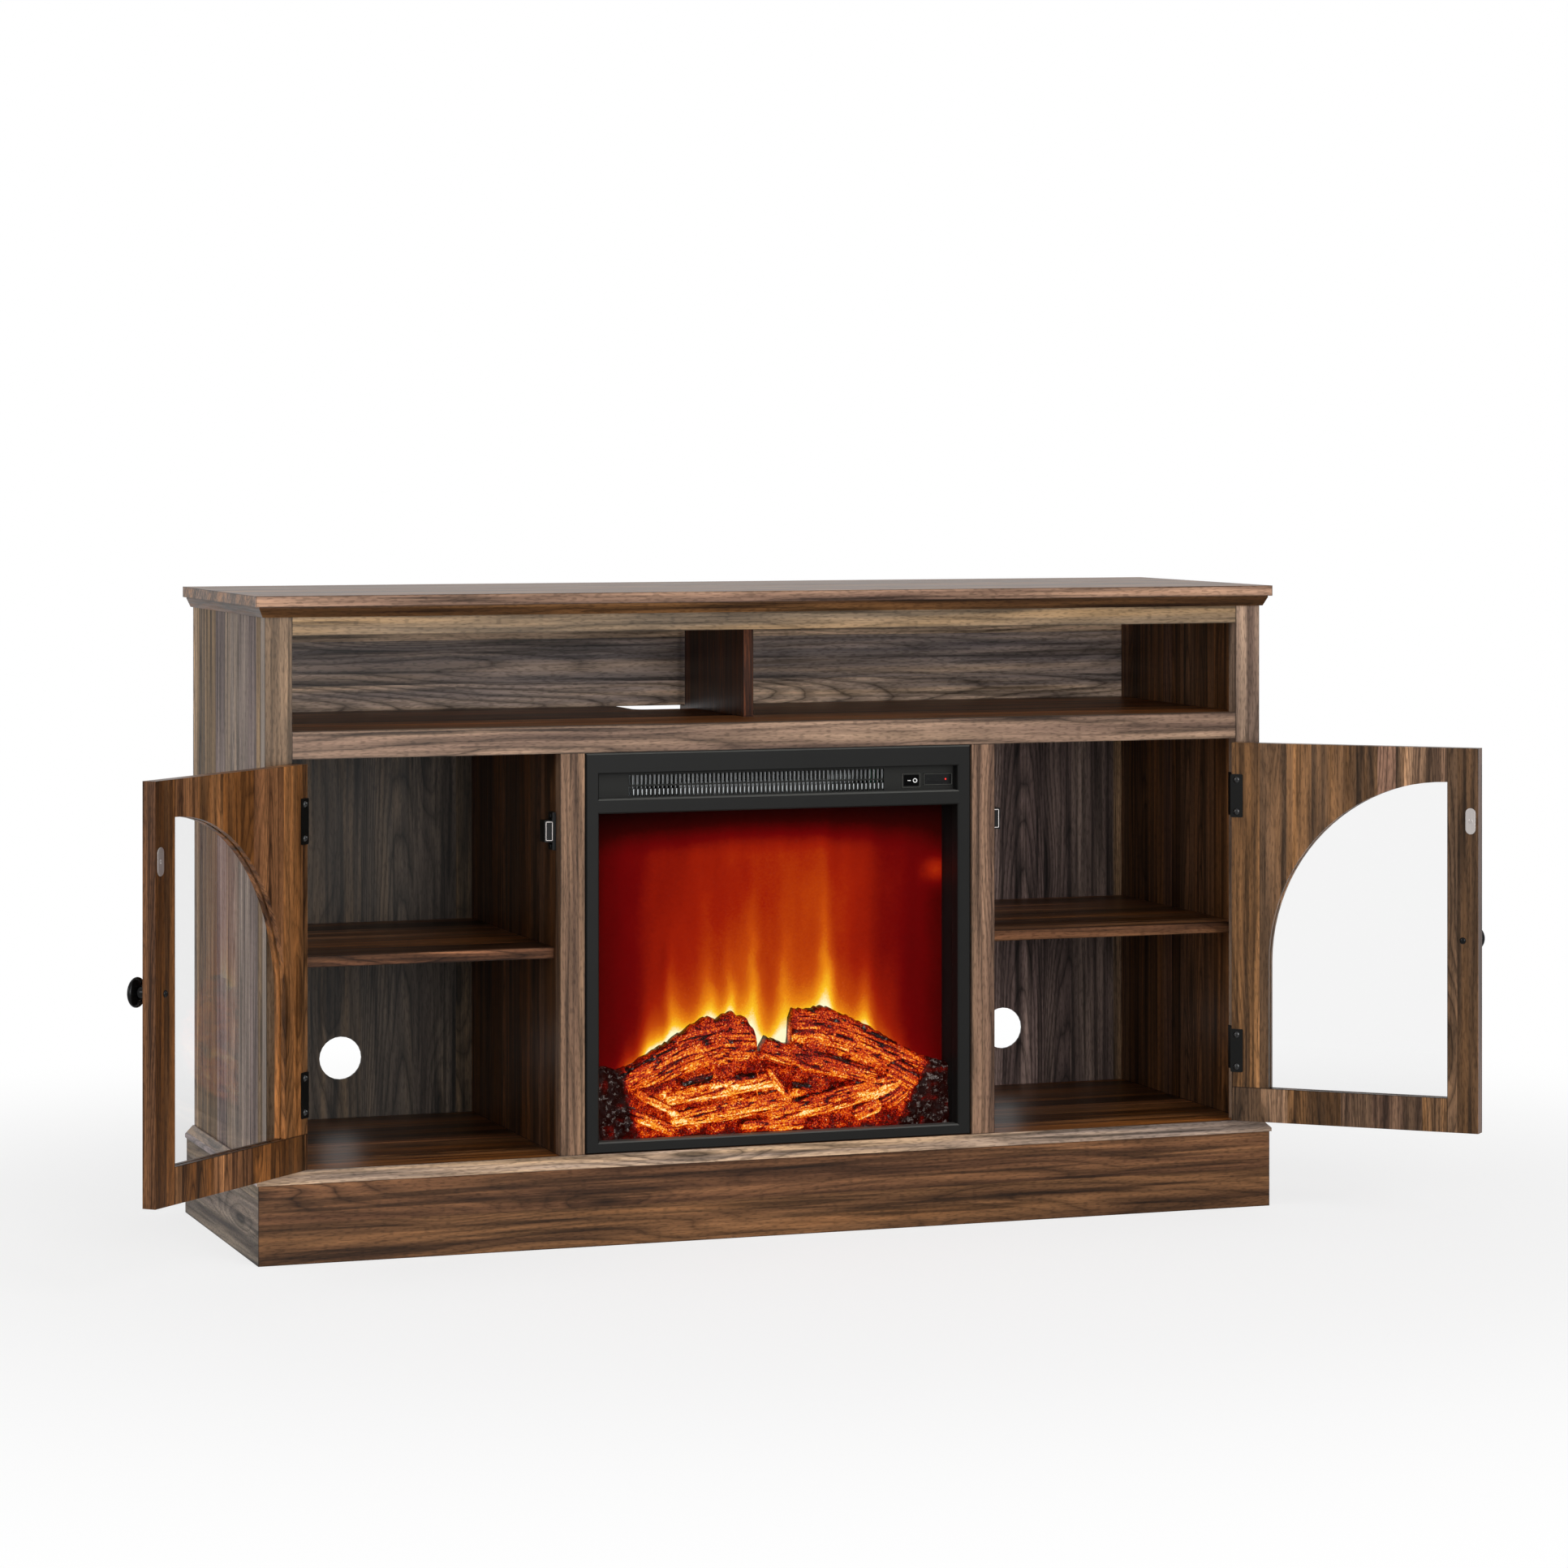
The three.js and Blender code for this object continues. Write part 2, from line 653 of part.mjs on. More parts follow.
// A door is built closed, then its group is turned about the hinge pins to the open pose
function addDoor(side, label, openDegrees) {
  const across = (u) => side * (stileInner - u);
  const pinX = across(HINGE_PIN_INSET);
  const swing = new THREE.Group();
  swing.position.set(pinX, -HINGE_PIN_FORWARD, 0);
  swing.rotation.z = side * THREE.MathUtils.degToRad(openDegrees);
  const leaf = new THREE.Group();
  leaf.position.set(-pinX, HINGE_PIN_FORWARD, 0);
  swing.add(leaf);
  model.add(swing);

  addDoorFrame(leaf, label, across);
  addMesh(leaf, `${label}_door_knob`, toGeometry(knobSolid(across)), blackSteel);
  addMesh(leaf, `${label}_door_striker`, strikerGeometry(across), brightSteel);
  for (const [place, height] of Object.entries(hingeHeights)) {
    const name = `${label}_${place}_hinge`;
    addMesh(model, `${name}_frame_leaf`, toGeometry(frameLeaf(across, height)), blackSteel);
    addMesh(leaf, `${name}_door_leaf`, toGeometry(doorLeaf(across, height)), blackSteel);
  }
}

function addDoorFrame(leaf, label, across) {
  const glassFront = (DOOR_THICKNESS - GLASS_THICKNESS) / 2;
  const glassRear = glassFront + GLASS_THICKNESS;
  const through = [-OVERRUN, DOOR_THICKNESS + OVERRUN];
  const [low, high] = inOrder(across(door.hingeEdge), across(door.freeEdge));
  const slab = boxSolid([low, 0, door.bottom], [high, DOOR_THICKNESS, door.top]);
  const grooveShape = archOutline(across, GROOVE_DEPTH);
  const boltPlace = [across(door.freeEdge - KNOB_INSET), door.middle];
  const screwPlaces = Object.values(hingeHeights).flatMap((z) => leafScrewPlaces(across, z));
  const frame = cutAll(slab, [
    toSolid(slabGeometry(archOutline(across, 0), ...through)),
    toSolid(slabGeometry(grooveShape, glassFront - SEAT, glassRear + SEAT)),
    rodSolid('y', KNOB_BOLT_RADIUS + SEAT, through, boltPlace),
    ...screwPlaces.map((place) => screwHole(place, [0, 1, 0])),
  ]);
  addMesh(leaf, `${label}_door_frame`, toGeometry(frame), walnut);
  const paneShape = archOutline(across, GROOVE_DEPTH - SEAT);
  addMesh(leaf, `${label}_door_glass`, slabGeometry(paneShape, glassFront, glassRear), clearGlass);
}

// Mushroom knob in front of the door, its bolt through the door and the bolt's head behind
function knobSolid(across) {
  const x = across(door.freeEdge - KNOB_INSET);
  const rim = KNOB_PROJECTION - KNOB_CAP_THICKNESS / 2;
  const under = domeProfile(KNOB_RADIUS, -KNOB_CAP_THICKNESS / 2, rim)
    .filter(([radius]) => radius > KNOB_NECK_RADIUS)
    .reverse();
  const profile = [
    [0, SEAT],
    [KNOB_FOOT_RADIUS, SEAT],
    [KNOB_FOOT_RADIUS, KNOB_FOOT_THICKNESS],
    [KNOB_NECK_RADIUS, 2 * KNOB_FOOT_THICKNESS],
    [KNOB_NECK_RADIUS, KNOB_PROJECTION - KNOB_CAP_THICKNESS],
    ...under.slice(0, -1),
    ...domeProfile(KNOB_RADIUS, KNOB_CAP_THICKNESS / 2, rim),
  ];
  const knob = turnedSolid(profile, [x, 0, door.middle], [0, -1, 0], ROUND_SIDES);
  const boltEnds = [-KNOB_FOOT_THICKNESS, innerSeat + SCREW_HEAD_HEIGHT / 2];
  const bolt = rodSolid('y', KNOB_BOLT_RADIUS, boltEnds, [x, door.middle]);
  const headProfile = [[0, 0], ...domeProfile(SCREW_HEAD_RADIUS, SCREW_HEAD_HEIGHT, 0)];
  const head = turnedSolid(headProfile, [x, innerSeat, door.middle], [0, 1, 0], SCREW_SIDES);
  return joinAll([knob, bolt, head]);
}

function strikerGeometry(across) {
  const middle = [across(door.freeEdge - STRIKER_INSET), catchZ];
  const half = [STRIKER_WIDTH / 2, STRIKER_HEIGHT / 2];
  const shape = roundedRectangle(middle, half, STRIKER_WIDTH / 2);
  return slabGeometry(shape, innerSeat, innerSeat + STRIKER_THICKNESS);
}

// Plate in a hinge, given by its spans across the doorway, along Y and up
function plateSolid(across, [u0, u1], [y0, y1], [z0, z1]) {
  const [x0, x1] = inOrder(across(u0), across(u1));
  return boxSolid([x0, y0, z0], [x1, y1, z1]);
}

const pinCentre = (across) => [across(HINGE_PIN_INSET), -HINGE_PIN_FORWARD];

// Cabinet half of a hinge: plate on the stile's inner face, two outer knuckles and the riveted pin
function frameLeaf(across, height) {
  const half = HINGE_HEIGHT / 2;
  const thickness = [0, HINGE_LEAF];
  const whole = [height - half, height + half];
  const inner = KNUCKLE_HEIGHT / 2 + SEAT;
  const pieces = [
    plateSolid(across, thickness, [HINGE_LEAF, FRAME_LEAF_DEPTH], whole),
    rodSolid('z', HINGE_PIN_RADIUS, whole, pinCentre(across)),
  ];
  for (const span of [[height - half, height - inner], [height + inner, height + half]]) {
    pieces.push(plateSolid(across, thickness, [-HINGE_PIN_FORWARD, 2 * HINGE_LEAF], span));
    pieces.push(rodSolid('z', BARREL_RADIUS, span, pinCentre(across)));
  }
  return joinAll(pieces);
}

const doorLeafNear = HINGE_LEAF + HINGE_LEAF_GAP;

// Door half of a hinge: middle knuckle, strip round the door's edge, plate on the inner face, screws
function doorLeaf(across, height) {
  const half = HINGE_HEIGHT / 2;
  const edge = [doorLeafNear, doorLeafNear + HINGE_LEAF];
  const middle = [height - KNUCKLE_HEIGHT / 2, height + KNUCKLE_HEIGHT / 2];
  const pinHole = rodSolid(
    'z',
    HINGE_PIN_RADIUS + HINGE_PIN_PLAY,
    [middle[0] - OVERRUN, middle[1] + OVERRUN],
    pinCentre(across),
  );
  const knuckle = joinAll([
    plateSolid(across, edge, [-HINGE_PIN_FORWARD, 2 * HINGE_LEAF], middle),
    rodSolid('z', BARREL_RADIUS, middle, pinCentre(across)),
  ]).subtract(pinHole);
  const stripSpan = [height - half + HINGE_CORNER, height + half - HINGE_CORNER];
  const strip = plateSolid(across, edge, [HINGE_LEAF, innerSeat + HINGE_LEAF], stripSpan);
  const plateMiddle = [across(doorLeafNear + DOOR_LEAF_WIDTH / 2), height];
  const plateShape = roundedRectangle(plateMiddle, [DOOR_LEAF_WIDTH / 2, half], HINGE_CORNER);
  const plate = toSolid(slabGeometry(plateShape, innerSeat, innerSeat + HINGE_LEAF));
  const screws = leafScrewPlaces(across, height).map((place) => screwSolid(place, [0, 1, 0]));
  return joinAll([knuckle, strip, plate, ...screws]);
}

function leafScrewPlaces(across, height) {
  const x = across(doorLeafNear + DOOR_LEAF_WIDTH / 2);
  const rise = HINGE_SCREW_SPACING / 2;
  return [height - rise, height + rise].map((z) => [x, innerSeat + HINGE_LEAF / 2, z]);
}

function catchScrewPlaces(side) {
  const x = side * (dividerOuter + CATCH_PLATE_THICKNESS / 2);
  const y = catchFront + CATCH_PLATE_DEPTH / 2;
  const rise = CATCH_SCREW_SPACING / 2;
  return [catchZ - rise, catchZ + rise].map((z) => [x, y, z]);
}

// Magnetic catch on the divider's face: a plate with ears, the magnet's body and two screws
function addCatch(side, label) {
  const slab = (thickness, height, depth) => {
    const [low, high] = inOrder(side * (dividerOuter + SEAT), side * (dividerOuter + thickness));
    return boxSolid(
      [low, catchFront, catchZ - height / 2],
      [high, catchFront + depth, catchZ + height / 2],
    );
  };
  const reach = CATCH_PLATE_THICKNESS + CATCH_BODY_THICKNESS;
  const heads = catchScrewPlaces(side).map(([x, y, z]) => {
    const start = [x + (side * CATCH_PLATE_THICKNESS) / 2, y, z];
    return screwSolid(start, [side, 0, 0]);
  });
  const whole = joinAll([
    slab(CATCH_PLATE_THICKNESS, CATCH_PLATE_HEIGHT, CATCH_PLATE_DEPTH),
    slab(reach, CATCH_BODY_HEIGHT, CATCH_BODY_DEPTH),
    ...heads,
  ]);
  addMesh(model, `catch_${label}`, toGeometry(whole), blackPlastic);
}

// Fireplace insert

// Sheet-metal face with two openings, hollow behind: bevelled front edges and deep returns
function addInsertFrame() {
  const outline = rectangle(new THREE.Shape(), -insertHalf, insertBottom, insertHalf, insertTop);
  outline.holes.push(rectangle(new THREE.Path(), -faceInner, screenSill, faceInner, screenHead));
  outline.holes.push(rectangle(new THREE.Path(), -faceInner, recessBottom, faceInner, recessTop));
  const bevelled = toSolid(slabGeometry(outline, 0, FRAME_RETURN + FRAME_BEVEL, FRAME_BEVEL));
  const rearTrim = boxSolid(
    [-insertHalf - OVERRUN, FRAME_RETURN, insertBottom - OVERRUN],
    [insertHalf + OVERRUN, FRAME_RETURN + FRAME_BEVEL + OVERRUN, insertTop + OVERRUN],
  );
  const ring = (half, low, high, margin) => boxSolid(
    [-half - margin, FRAME_SHEET + FRAME_BEVEL, low - margin],
    [half + margin, FRAME_RETURN + OVERRUN, high + margin],
  );
  const hollow = cutAll(ring(insertHalf, insertBottom, insertTop, -FRAME_SHEET), [
    ring(faceInner, screenSill, screenHead, FRAME_SHEET),
    ring(faceInner, recessBottom, recessTop, FRAME_SHEET),
  ]);
  addMesh(model, 'insert_frame', toGeometry(cutAll(bevelled, [rearTrim, hollow])), blackSteel);
}

// Places of the blower, which hangs between two end plates on the heat shield
const heaterMiddle = -HEATER_OFFSET;
const rotorEnds = [heaterMiddle - ROTOR_LENGTH / 2, heaterMiddle + ROTOR_LENGTH / 2];
const plateInner = [rotorEnds[0] - END_PLATE_GAP, rotorEnds[1] + END_PLATE_GAP];
const plateOuter = [plateInner[0] - END_PLATE_THICKNESS, plateInner[1] + END_PLATE_THICKNESS];
const rotorCentre = [ROTOR_SETBACK, shieldTop + ROTOR_RADIUS + END_PLATE_GAP];

// Sheet-metal box, open at the front and the back, with the heat shield across it and the blower's
// two end plates on the shield
function addInsertCase() {
  const shell = boxSolid([-caseOuter, caseFront, insertBottom], [caseOuter, caseRear, caseTop]);
  const hollow = boxSolid(
    [-caseInner, caseFront - OVERRUN, caseFloor],
    [caseInner, caseRear + OVERRUN, caseTop - CASE_SHEET],
  );
  const shield = boxSolid([-caseOuter, SHIELD_SETBACK, shieldBottom], [caseOuter, caseRear, shieldTop]);
  const endPlate = ([x0, x1]) => boxSolid(
    [x0, ROTOR_SETBACK - ROTOR_RADIUS, shieldBottom],
    [x1, ROTOR_SETBACK + ROTOR_RADIUS, rotorCentre[1] + ROTOR_RADIUS / 2],
  );
  const plates = [endPlate([plateOuter[0], plateInner[0]]), endPlate([plateInner[1], plateOuter[1]])];
  const boreEnds = [plateOuter[0] - OVERRUN, plateOuter[1] + OVERRUN];
  const bore = rodSolid('x', SHAFT_RADIUS + SHAFT_PLAY, boreEnds, rotorCentre);
  const whole = joinAll([shell.subtract(hollow), shield, ...plates]).subtract(bore);
  addMesh(model, 'insert_case', toGeometry(whole), blackSteel);
}

function addBackCover() {
  const coverFront = caseRear + SEAT;
  const coverRear = coverFront + CASE_SHEET;
  const through = [coverFront - OVERRUN, coverRear + OVERRUN];
  const plate = boxSolid([-caseOuter, coverFront, insertBottom], [caseOuter, coverRear, caseTop]);
  const glandAt = [-caseOuter + GLAND_INSET, insertBottom + GLAND_RISE];
  const cuts = [rodSolid('y', GLAND_RADIUS + SEAT, through, glandAt)];
  for (let i = 0; i < COVER_SLOT_COUNT; i += 1) {
    const z = caseTop - COVER_SLOT_DROP - i * COVER_SLOT_PITCH;
    cuts.push(faceBlock([0, z], [COVER_SLOT_LENGTH / 2, COVER_SLOT_HEIGHT / 2], through));
  }
  addMesh(model, 'back_cover', toGeometry(cutAll(plate, cuts)), greySteel);

  const flangeFront = coverRear + SEAT;
  const ends = [coverFront - GLAND_FLANGE, flangeFront + GLAND_LENGTH];
  const boreEnds = [ends[0] - OVERRUN, ends[1] + OVERRUN];
  const flange = rodSolid('y', GLAND_FLANGE_RADIUS, [flangeFront, flangeFront + GLAND_FLANGE], glandAt);
  const gland = rodSolid('y', GLAND_RADIUS, ends, glandAt)
    .add(flange)
    .subtract(rodSolid('y', GLAND_BORE_RADIUS, boreEnds, glandAt));
  addMesh(model, 'cord_gland', toGeometry(gland), blackPlastic);
}

// Front glass in front of the logs, and the screen that the flames play on behind them
function addPanes() {
  const pane = (name, front, thickness, material) => board(
    name,
    [-linerFit, front, caseFloor + SEAT],
    [linerFit, front + thickness, shieldBottom - SEAT],
    material,
  );
  pane('insert_glass', caseFront, FRONT_GLASS, clearGlass);
  pane('flame_screen', SCREEN_SETBACK, SCREEN_THICKNESS, flame);
}

const panelFront = FRAME_RETURN + SEAT;
const panelRear = panelFront + PANEL_SHEET;
const switchAt = [faceInner - SWITCH_INSET, recessMiddle - SWITCH_DROP];
const switchFront = panelFront - SWITCH_FLANGE;
const switchBodyHalf = [SWITCH_WIDTH / 2 - SWITCH_BEZEL, SWITCH_HEIGHT / 2 - SWITCH_BEZEL];
const wellHalf = switchBodyHalf.map((half) => half - SWITCH_WALL);
const rockerRadius = wellHalf[0] - ROCKER_GAP;
const rockerPivotY = switchFront - ROCKER_PROUD;
const ventLeft = -faceInner + VENT_INSET;
const ventRight = switchAt[0] - SWITCH_WIDTH / 2 - VENT_SWITCH_GAP;
const ventHalf = (ventRight - ventLeft) / 2;

// Panel behind the recess, with the comb across the warm-air outlet and the switch's body
function addOutletPanel() {
  const through = [panelFront - OVERRUN, panelRear + OVERRUN];
  const panelHalf = [linerFit, RECESS_HEIGHT / 2 + PANEL_LAP];
  const panel = faceBlock([0, recessMiddle], panelHalf, [panelFront, panelRear]);
  const ventAt = [(ventLeft + ventRight) / 2, recessMiddle - VENT_DROP];
  const windowAt = [faceInner - WINDOW_INSET, recessMiddle - WINDOW_DROP];
  const windowHalf = [WINDOW_WIDTH / 2, WINDOW_HEIGHT / 2];
  const cuts = [
    faceBlock(ventAt, [ventHalf, VENT_HEIGHT / 2], through),
    faceBlock(windowAt, windowHalf.map((half) => half + SEAT), through),
  ];
  const combFront = panelFront + (PANEL_SHEET - COMB_DEPTH) / 2;
  const combSpan = [combFront, combFront + COMB_DEPTH];
  const additions = [faceBlock(ventAt, [ventHalf + PANEL_LAP / 2, COMB_RAIL / 2], combSpan)];
  const count = Math.floor((2 * ventHalf) / COMB_PITCH);
  for (let i = 0; i < count; i += 1) {
    const x = ventAt[0] + (i - (count - 1) / 2) * COMB_PITCH;
    const half = [COMB_TOOTH / 2, VENT_HEIGHT / 2 + PANEL_LAP / 2];
    additions.push(faceBlock([x, ventAt[1]], half, combSpan));
  }
  const flangeHalf = [SWITCH_WIDTH / 2, SWITCH_HEIGHT / 2];
  additions.push(faceBlock(switchAt, flangeHalf, [switchFront, panelRear]));
  additions.push(faceBlock(switchAt, switchBodyHalf, [switchFront, panelFront + SWITCH_BODY_DEPTH]));
  const wellEnds = [switchFront - OVERRUN, rockerPivotY + rockerRadius + ROCKER_GAP];
  const whole = joinAll([cutAll(panel, cuts), ...additions])
    .subtract(faceBlock(switchAt, wellHalf, wellEnds));
  addMesh(model, 'outlet_panel', toGeometry(whole), blackPlastic);
  const window = faceBlock(windowAt, windowHalf, [panelFront - WINDOW_PROUD, panelRear]);
  addMesh(model, 'receiver_window', toGeometry(window), blackPlastic);
}

// Rocker about its upright pivot: round sides and back, and a front with two faces that meet at the
// middle. At rest it is turned so that its left end is pressed in.
function addRocker() {
  const tilt = THREE.MathUtils.degToRad(ROCKER_TILT_DEG);
  const shape = new THREE.Shape();
  shape.moveTo(0, 0);
  shape.lineTo(rockerRadius * Math.cos(tilt), -rockerRadius * Math.sin(tilt));
  shape.absarc(0, 0, rockerRadius, -tilt, Math.PI + tilt);
  const half = wellHalf[1] - ROCKER_GAP;
  const geometry = new THREE.ExtrudeGeometry(shape, {
    depth: 2 * half,
    bevelEnabled: false,
    curveSegments: ROUND_SIDES / 2,
  });
  geometry.translate(0, 0, -half);
  const rocker = addMesh(model, 'power_rocker', geometry, blackPlastic);
  rocker.position.set(switchAt[0], rockerPivotY, switchAt[1]);
  rocker.rotation.z = -tilt;
}

function addBlower() {
  const elementLow = shieldTop + SEAT;
  board(
    'heating_element',
    [heaterMiddle - HEATER_LENGTH / 2, HEATER_SETBACK, elementLow],
    [heaterMiddle + HEATER_LENGTH / 2, HEATER_SETBACK + HEATER_DEPTH, elementLow + HEATER_HEIGHT],
    ceramic,
  );
  const shaftEnds = [plateOuter[0], plateOuter[1] + SEAT];
  const pieces = [
    rodSolid('x', SHAFT_RADIUS, shaftEnds, rotorCentre),
    rodSolid('x', ROTOR_RADIUS, [rotorEnds[0], rotorEnds[0] + ROTOR_DISC], rotorCentre),
    rodSolid('x', ROTOR_RADIUS, [rotorEnds[1] - ROTOR_DISC, rotorEnds[1]], rotorCentre),
  ];
  const bladeOuter = ROTOR_RADIUS - ROTOR_DISC / 2;
  for (let i = 0; i < ROTOR_BLADES; i += 1) {
    const blade = boxGeometry(
      [rotorEnds[0] + ROTOR_DISC / 2, -ROTOR_BLADE_THICKNESS / 2, bladeOuter - ROTOR_BLADE_WIDTH],
      [rotorEnds[1] - ROTOR_DISC / 2, ROTOR_BLADE_THICKNESS / 2, bladeOuter],
    );
    blade.rotateX((i / ROTOR_BLADES) * 2 * Math.PI);
    blade.translate(0, ...rotorCentre);
    pieces.push(toSolid(blade));
  }
  addMesh(model, 'blower_rotor', toGeometry(joinAll(pieces)), blackPlastic);

  const motorEnds = [shaftEnds[1] + SEAT, shaftEnds[1] + SEAT + MOTOR_LENGTH];
  const foot = boxSolid(
    [motorEnds[0], ROTOR_SETBACK - MOTOR_RADIUS / 2, elementLow],
    [motorEnds[1], ROTOR_SETBACK + MOTOR_RADIUS / 2, rotorCentre[1]],
  );
  const motor = rodSolid('x', MOTOR_RADIUS, motorEnds, rotorCentre).add(foot);
  addMesh(model, 'blower_motor', toGeometry(motor), greySteel);
}

// Spindle with reflector vanes set in a spiral, turned by a small geared motor on the case's wall
function addFlameDrive() {
  const centre = [SPINDLE_SETBACK, insertBottom + SPINDLE_RISE];
  const motorEnds = [-linerFit, -linerFit + SPINDLE_MOTOR_LENGTH];
  const spindleEnds = [motorEnds[1] + SEAT, linerFit];
  addMesh(
    model,
    'spindle_motor',
    toGeometry(rodSolid('x', SPINDLE_MOTOR_RADIUS, motorEnds, centre)),
    greySteel,
  );
  const pieces = [rodSolid('x', SPINDLE_RADIUS, spindleEnds, centre)];
  const pitch = (spindleEnds[1] - spindleEnds[0]) / VANE_COUNT;
  for (let i = 0; i < VANE_COUNT; i += 1) {
    const vane = boxGeometry(
      [-VANE_LENGTH / 2, -VANE_WIDTH / 2, -VANE_THICKNESS / 2],
      [VANE_LENGTH / 2, VANE_WIDTH / 2, VANE_THICKNESS / 2],
    );
    vane.rotateX(THREE.MathUtils.degToRad(i * VANE_TURN_DEG));
    vane.translate(spindleEnds[0] + pitch * (i + 1 / 2), ...centre);
    pieces.push(toSolid(vane));
  }
  addMesh(model, 'flame_spindle', toGeometry(joinAll(pieces)), brightSteel);
}

function addBoards() {
  const low = caseFloor + SEAT;
  const pieces = [boxSolid(
    [-LAMP_BOARD_LENGTH / 2, LAMP_BOARD_SETBACK, low],
    [LAMP_BOARD_LENGTH / 2, LAMP_BOARD_SETBACK + LAMP_BOARD_DEPTH, low + BOARD_THICKNESS],
  )];
  const pitch = LAMP_BOARD_LENGTH / LAMP_COUNT;
  const lampFront = LAMP_BOARD_SETBACK + (LAMP_BOARD_DEPTH - LAMP_SIZE) / 2;
  for (let i = 0; i < LAMP_COUNT; i += 1) {
    const x = -LAMP_BOARD_LENGTH / 2 + pitch * (i + 1 / 2) - LAMP_SIZE / 2;
    const top = low + BOARD_THICKNESS + LAMP_HEIGHT;
    pieces.push(boxSolid([x, lampFront, low], [x + LAMP_SIZE, lampFront + LAMP_SIZE, top]));
  }
  addMesh(model, 'lamp_board', toGeometry(joinAll(pieces)), boardGreen);
  const right = linerFit - CONTROL_BOARD_INSET;
  const foot = shieldTop + SEAT;
  board(
    'control_board',
    [right - CONTROL_BOARD_WIDTH, CONTROL_BOARD_SETBACK, foot],
    [right, CONTROL_BOARD_SETBACK + BOARD_THICKNESS, foot + CONTROL_BOARD_HEIGHT],
    boardGreen,
  );
}

const fireboxFront = caseFront + FRONT_GLASS + SEAT;
const fireboxRear = SCREEN_SETBACK - SEAT;
const fireboxDepth = fireboxRear - fireboxFront;

// Each log's axis runs from one end to the other. Ends are shares of half the firebox's width, of
// the log set's height and of the firebox's depth. The radii at the two ends and the middle are
// shares of the firebox's depth.
const logShares = [
  { from: [-0.78, 0.378, 0.6], to: [-0.14, 0.81, 0.6], ends: [0.45, 0.6], middle: 0.77 },
  { from: [0.18, 0.878, 0.6], to: [0.84, 0.459, 0.6], ends: [0.5, 0.38], middle: 0.76 },
  { from: [0.02, 0.743, 0.45], to: [0.25, 0.432, 0.45], ends: [0.36, 0.38], middle: 0.42 },
  { from: [-0.56, 0.216, 0.35], to: [0, 0.378, 0.35], ends: [0.36, 0.39], middle: 0.45 },
  { from: [-0.47, 0.095, 0.25], to: [0.16, 0.257, 0.25], ends: [0.32, 0.34], middle: 0.38 },
  { from: [0.03, 0.162, 0.35], to: [0.64, 0.351, 0.35], ends: [0.36, 0.42], middle: 0.48 },
];

// Charcoal lumps, each a middle and half sizes in the same shares
const charcoalShares = [
  { middle: [-0.92, 0.27, 0.5], half: [0.12, 0.27, 0.55] },
  { middle: [-0.8, 0.135, 0.35], half: [0.1, 0.216, 0.4] },
  { middle: [0.93, 0.243, 0.5], half: [0.13, 0.27, 0.55] },
  { middle: [0.78, 0.162, 0.35], half: [0.12, 0.243, 0.4] },
];

// Mound that fills the space behind and under the logs, in shares of half the firebox's width and
// of the log set's height
const moundShares = [
  [-1, 0],
  [1, 0],
  [1, 0.27],
  [0.72, 0.5],
  [0.3, 0.75],
  [0.05, 0.75],
  [-0.14, 0.74],
  [-0.45, 0.58],
  [-0.78, 0.38],
  [-1, 0.27],
];

function fireboxPlace([x, z, y]) {
  return new THREE.Vector3(
    x * linerFit,
    fireboxFront + y * fireboxDepth,
    screenSill + z * LOG_SET_HEIGHT,
  );
}

// Flattened log. Its radius swells by half a sine wave to the middle, and its bark has ridges that
// are a sine of the turn about the axis and wind slowly along it.
function logSolid({ from, to, ends, middle }) {
  const start = fireboxPlace(from);
  const end = fireboxPlace(to);
  const length = start.distanceTo(end);
  const geometry = new THREE.CylinderGeometry(1, 1, length, LOG_SIDES, LOG_RINGS);
  const points = geometry.attributes.position;
  const twist = THREE.MathUtils.degToRad(LOG_TWIST_DEG);
  for (let i = 0; i < points.count; i += 1) {
    const along = points.getY(i) / length + 1 / 2;
    const turn = Math.atan2(points.getZ(i), points.getX(i));
    const even = ends[0] + (ends[1] - ends[0]) * along;
    const swell = (middle - (ends[0] + ends[1]) / 2) * Math.sin(Math.PI * along);
    const ridge = 1 + LOG_RIDGE_SHARE * Math.sin(LOG_RIDGES * turn + twist * along);
    const radius = (even + swell) * ridge * fireboxDepth;
    points.setX(i, points.getX(i) * radius);
    points.setZ(i, points.getZ(i) * radius * LOG_FLAT_SHARE);
  }
  geometry.rotateZ(-Math.atan2(end.x - start.x, end.z - start.z));
  geometry.rotateX(Math.PI / 2);
  const centre = start.add(end).multiplyScalar(1 / 2);
  geometry.translate(centre.x, centre.y, centre.z);
  return toSolid(geometry);
}

function charcoalSolid({ middle, half }) {
  const geometry = new THREE.IcosahedronGeometry(1, 1);
  geometry.scale(half[0] * linerFit, half[2] * fireboxDepth, half[1] * LOG_SET_HEIGHT);
  geometry.translate(...fireboxPlace(middle).toArray());
  return toSolid(geometry);
}

function addLogSet() {
  const low = caseFloor + SEAT;
  const bed = boxSolid([-linerFit, fireboxFront, low], [linerFit, fireboxRear, low + EMBER_BED_HEIGHT]);
  const room = boxSolid([-linerFit, fireboxFront, low], [linerFit, fireboxRear, screenHead]);
  const outline = new THREE.Shape(moundShares.map(([x, z]) => {
    const place = fireboxPlace([x, z, 0]);
    return new THREE.Vector2(place.x, place.z);
  }));
  const mound = toSolid(slabGeometry(outline, fireboxFront + MOUND_SETBACK, fireboxRear));
  const pieces = [bed, mound, ...logShares.map(logSolid), ...charcoalShares.map(charcoalSolid)];
  addMesh(model, 'log_set', toGeometry(joinAll(pieces).intersect(room)), ember);
}

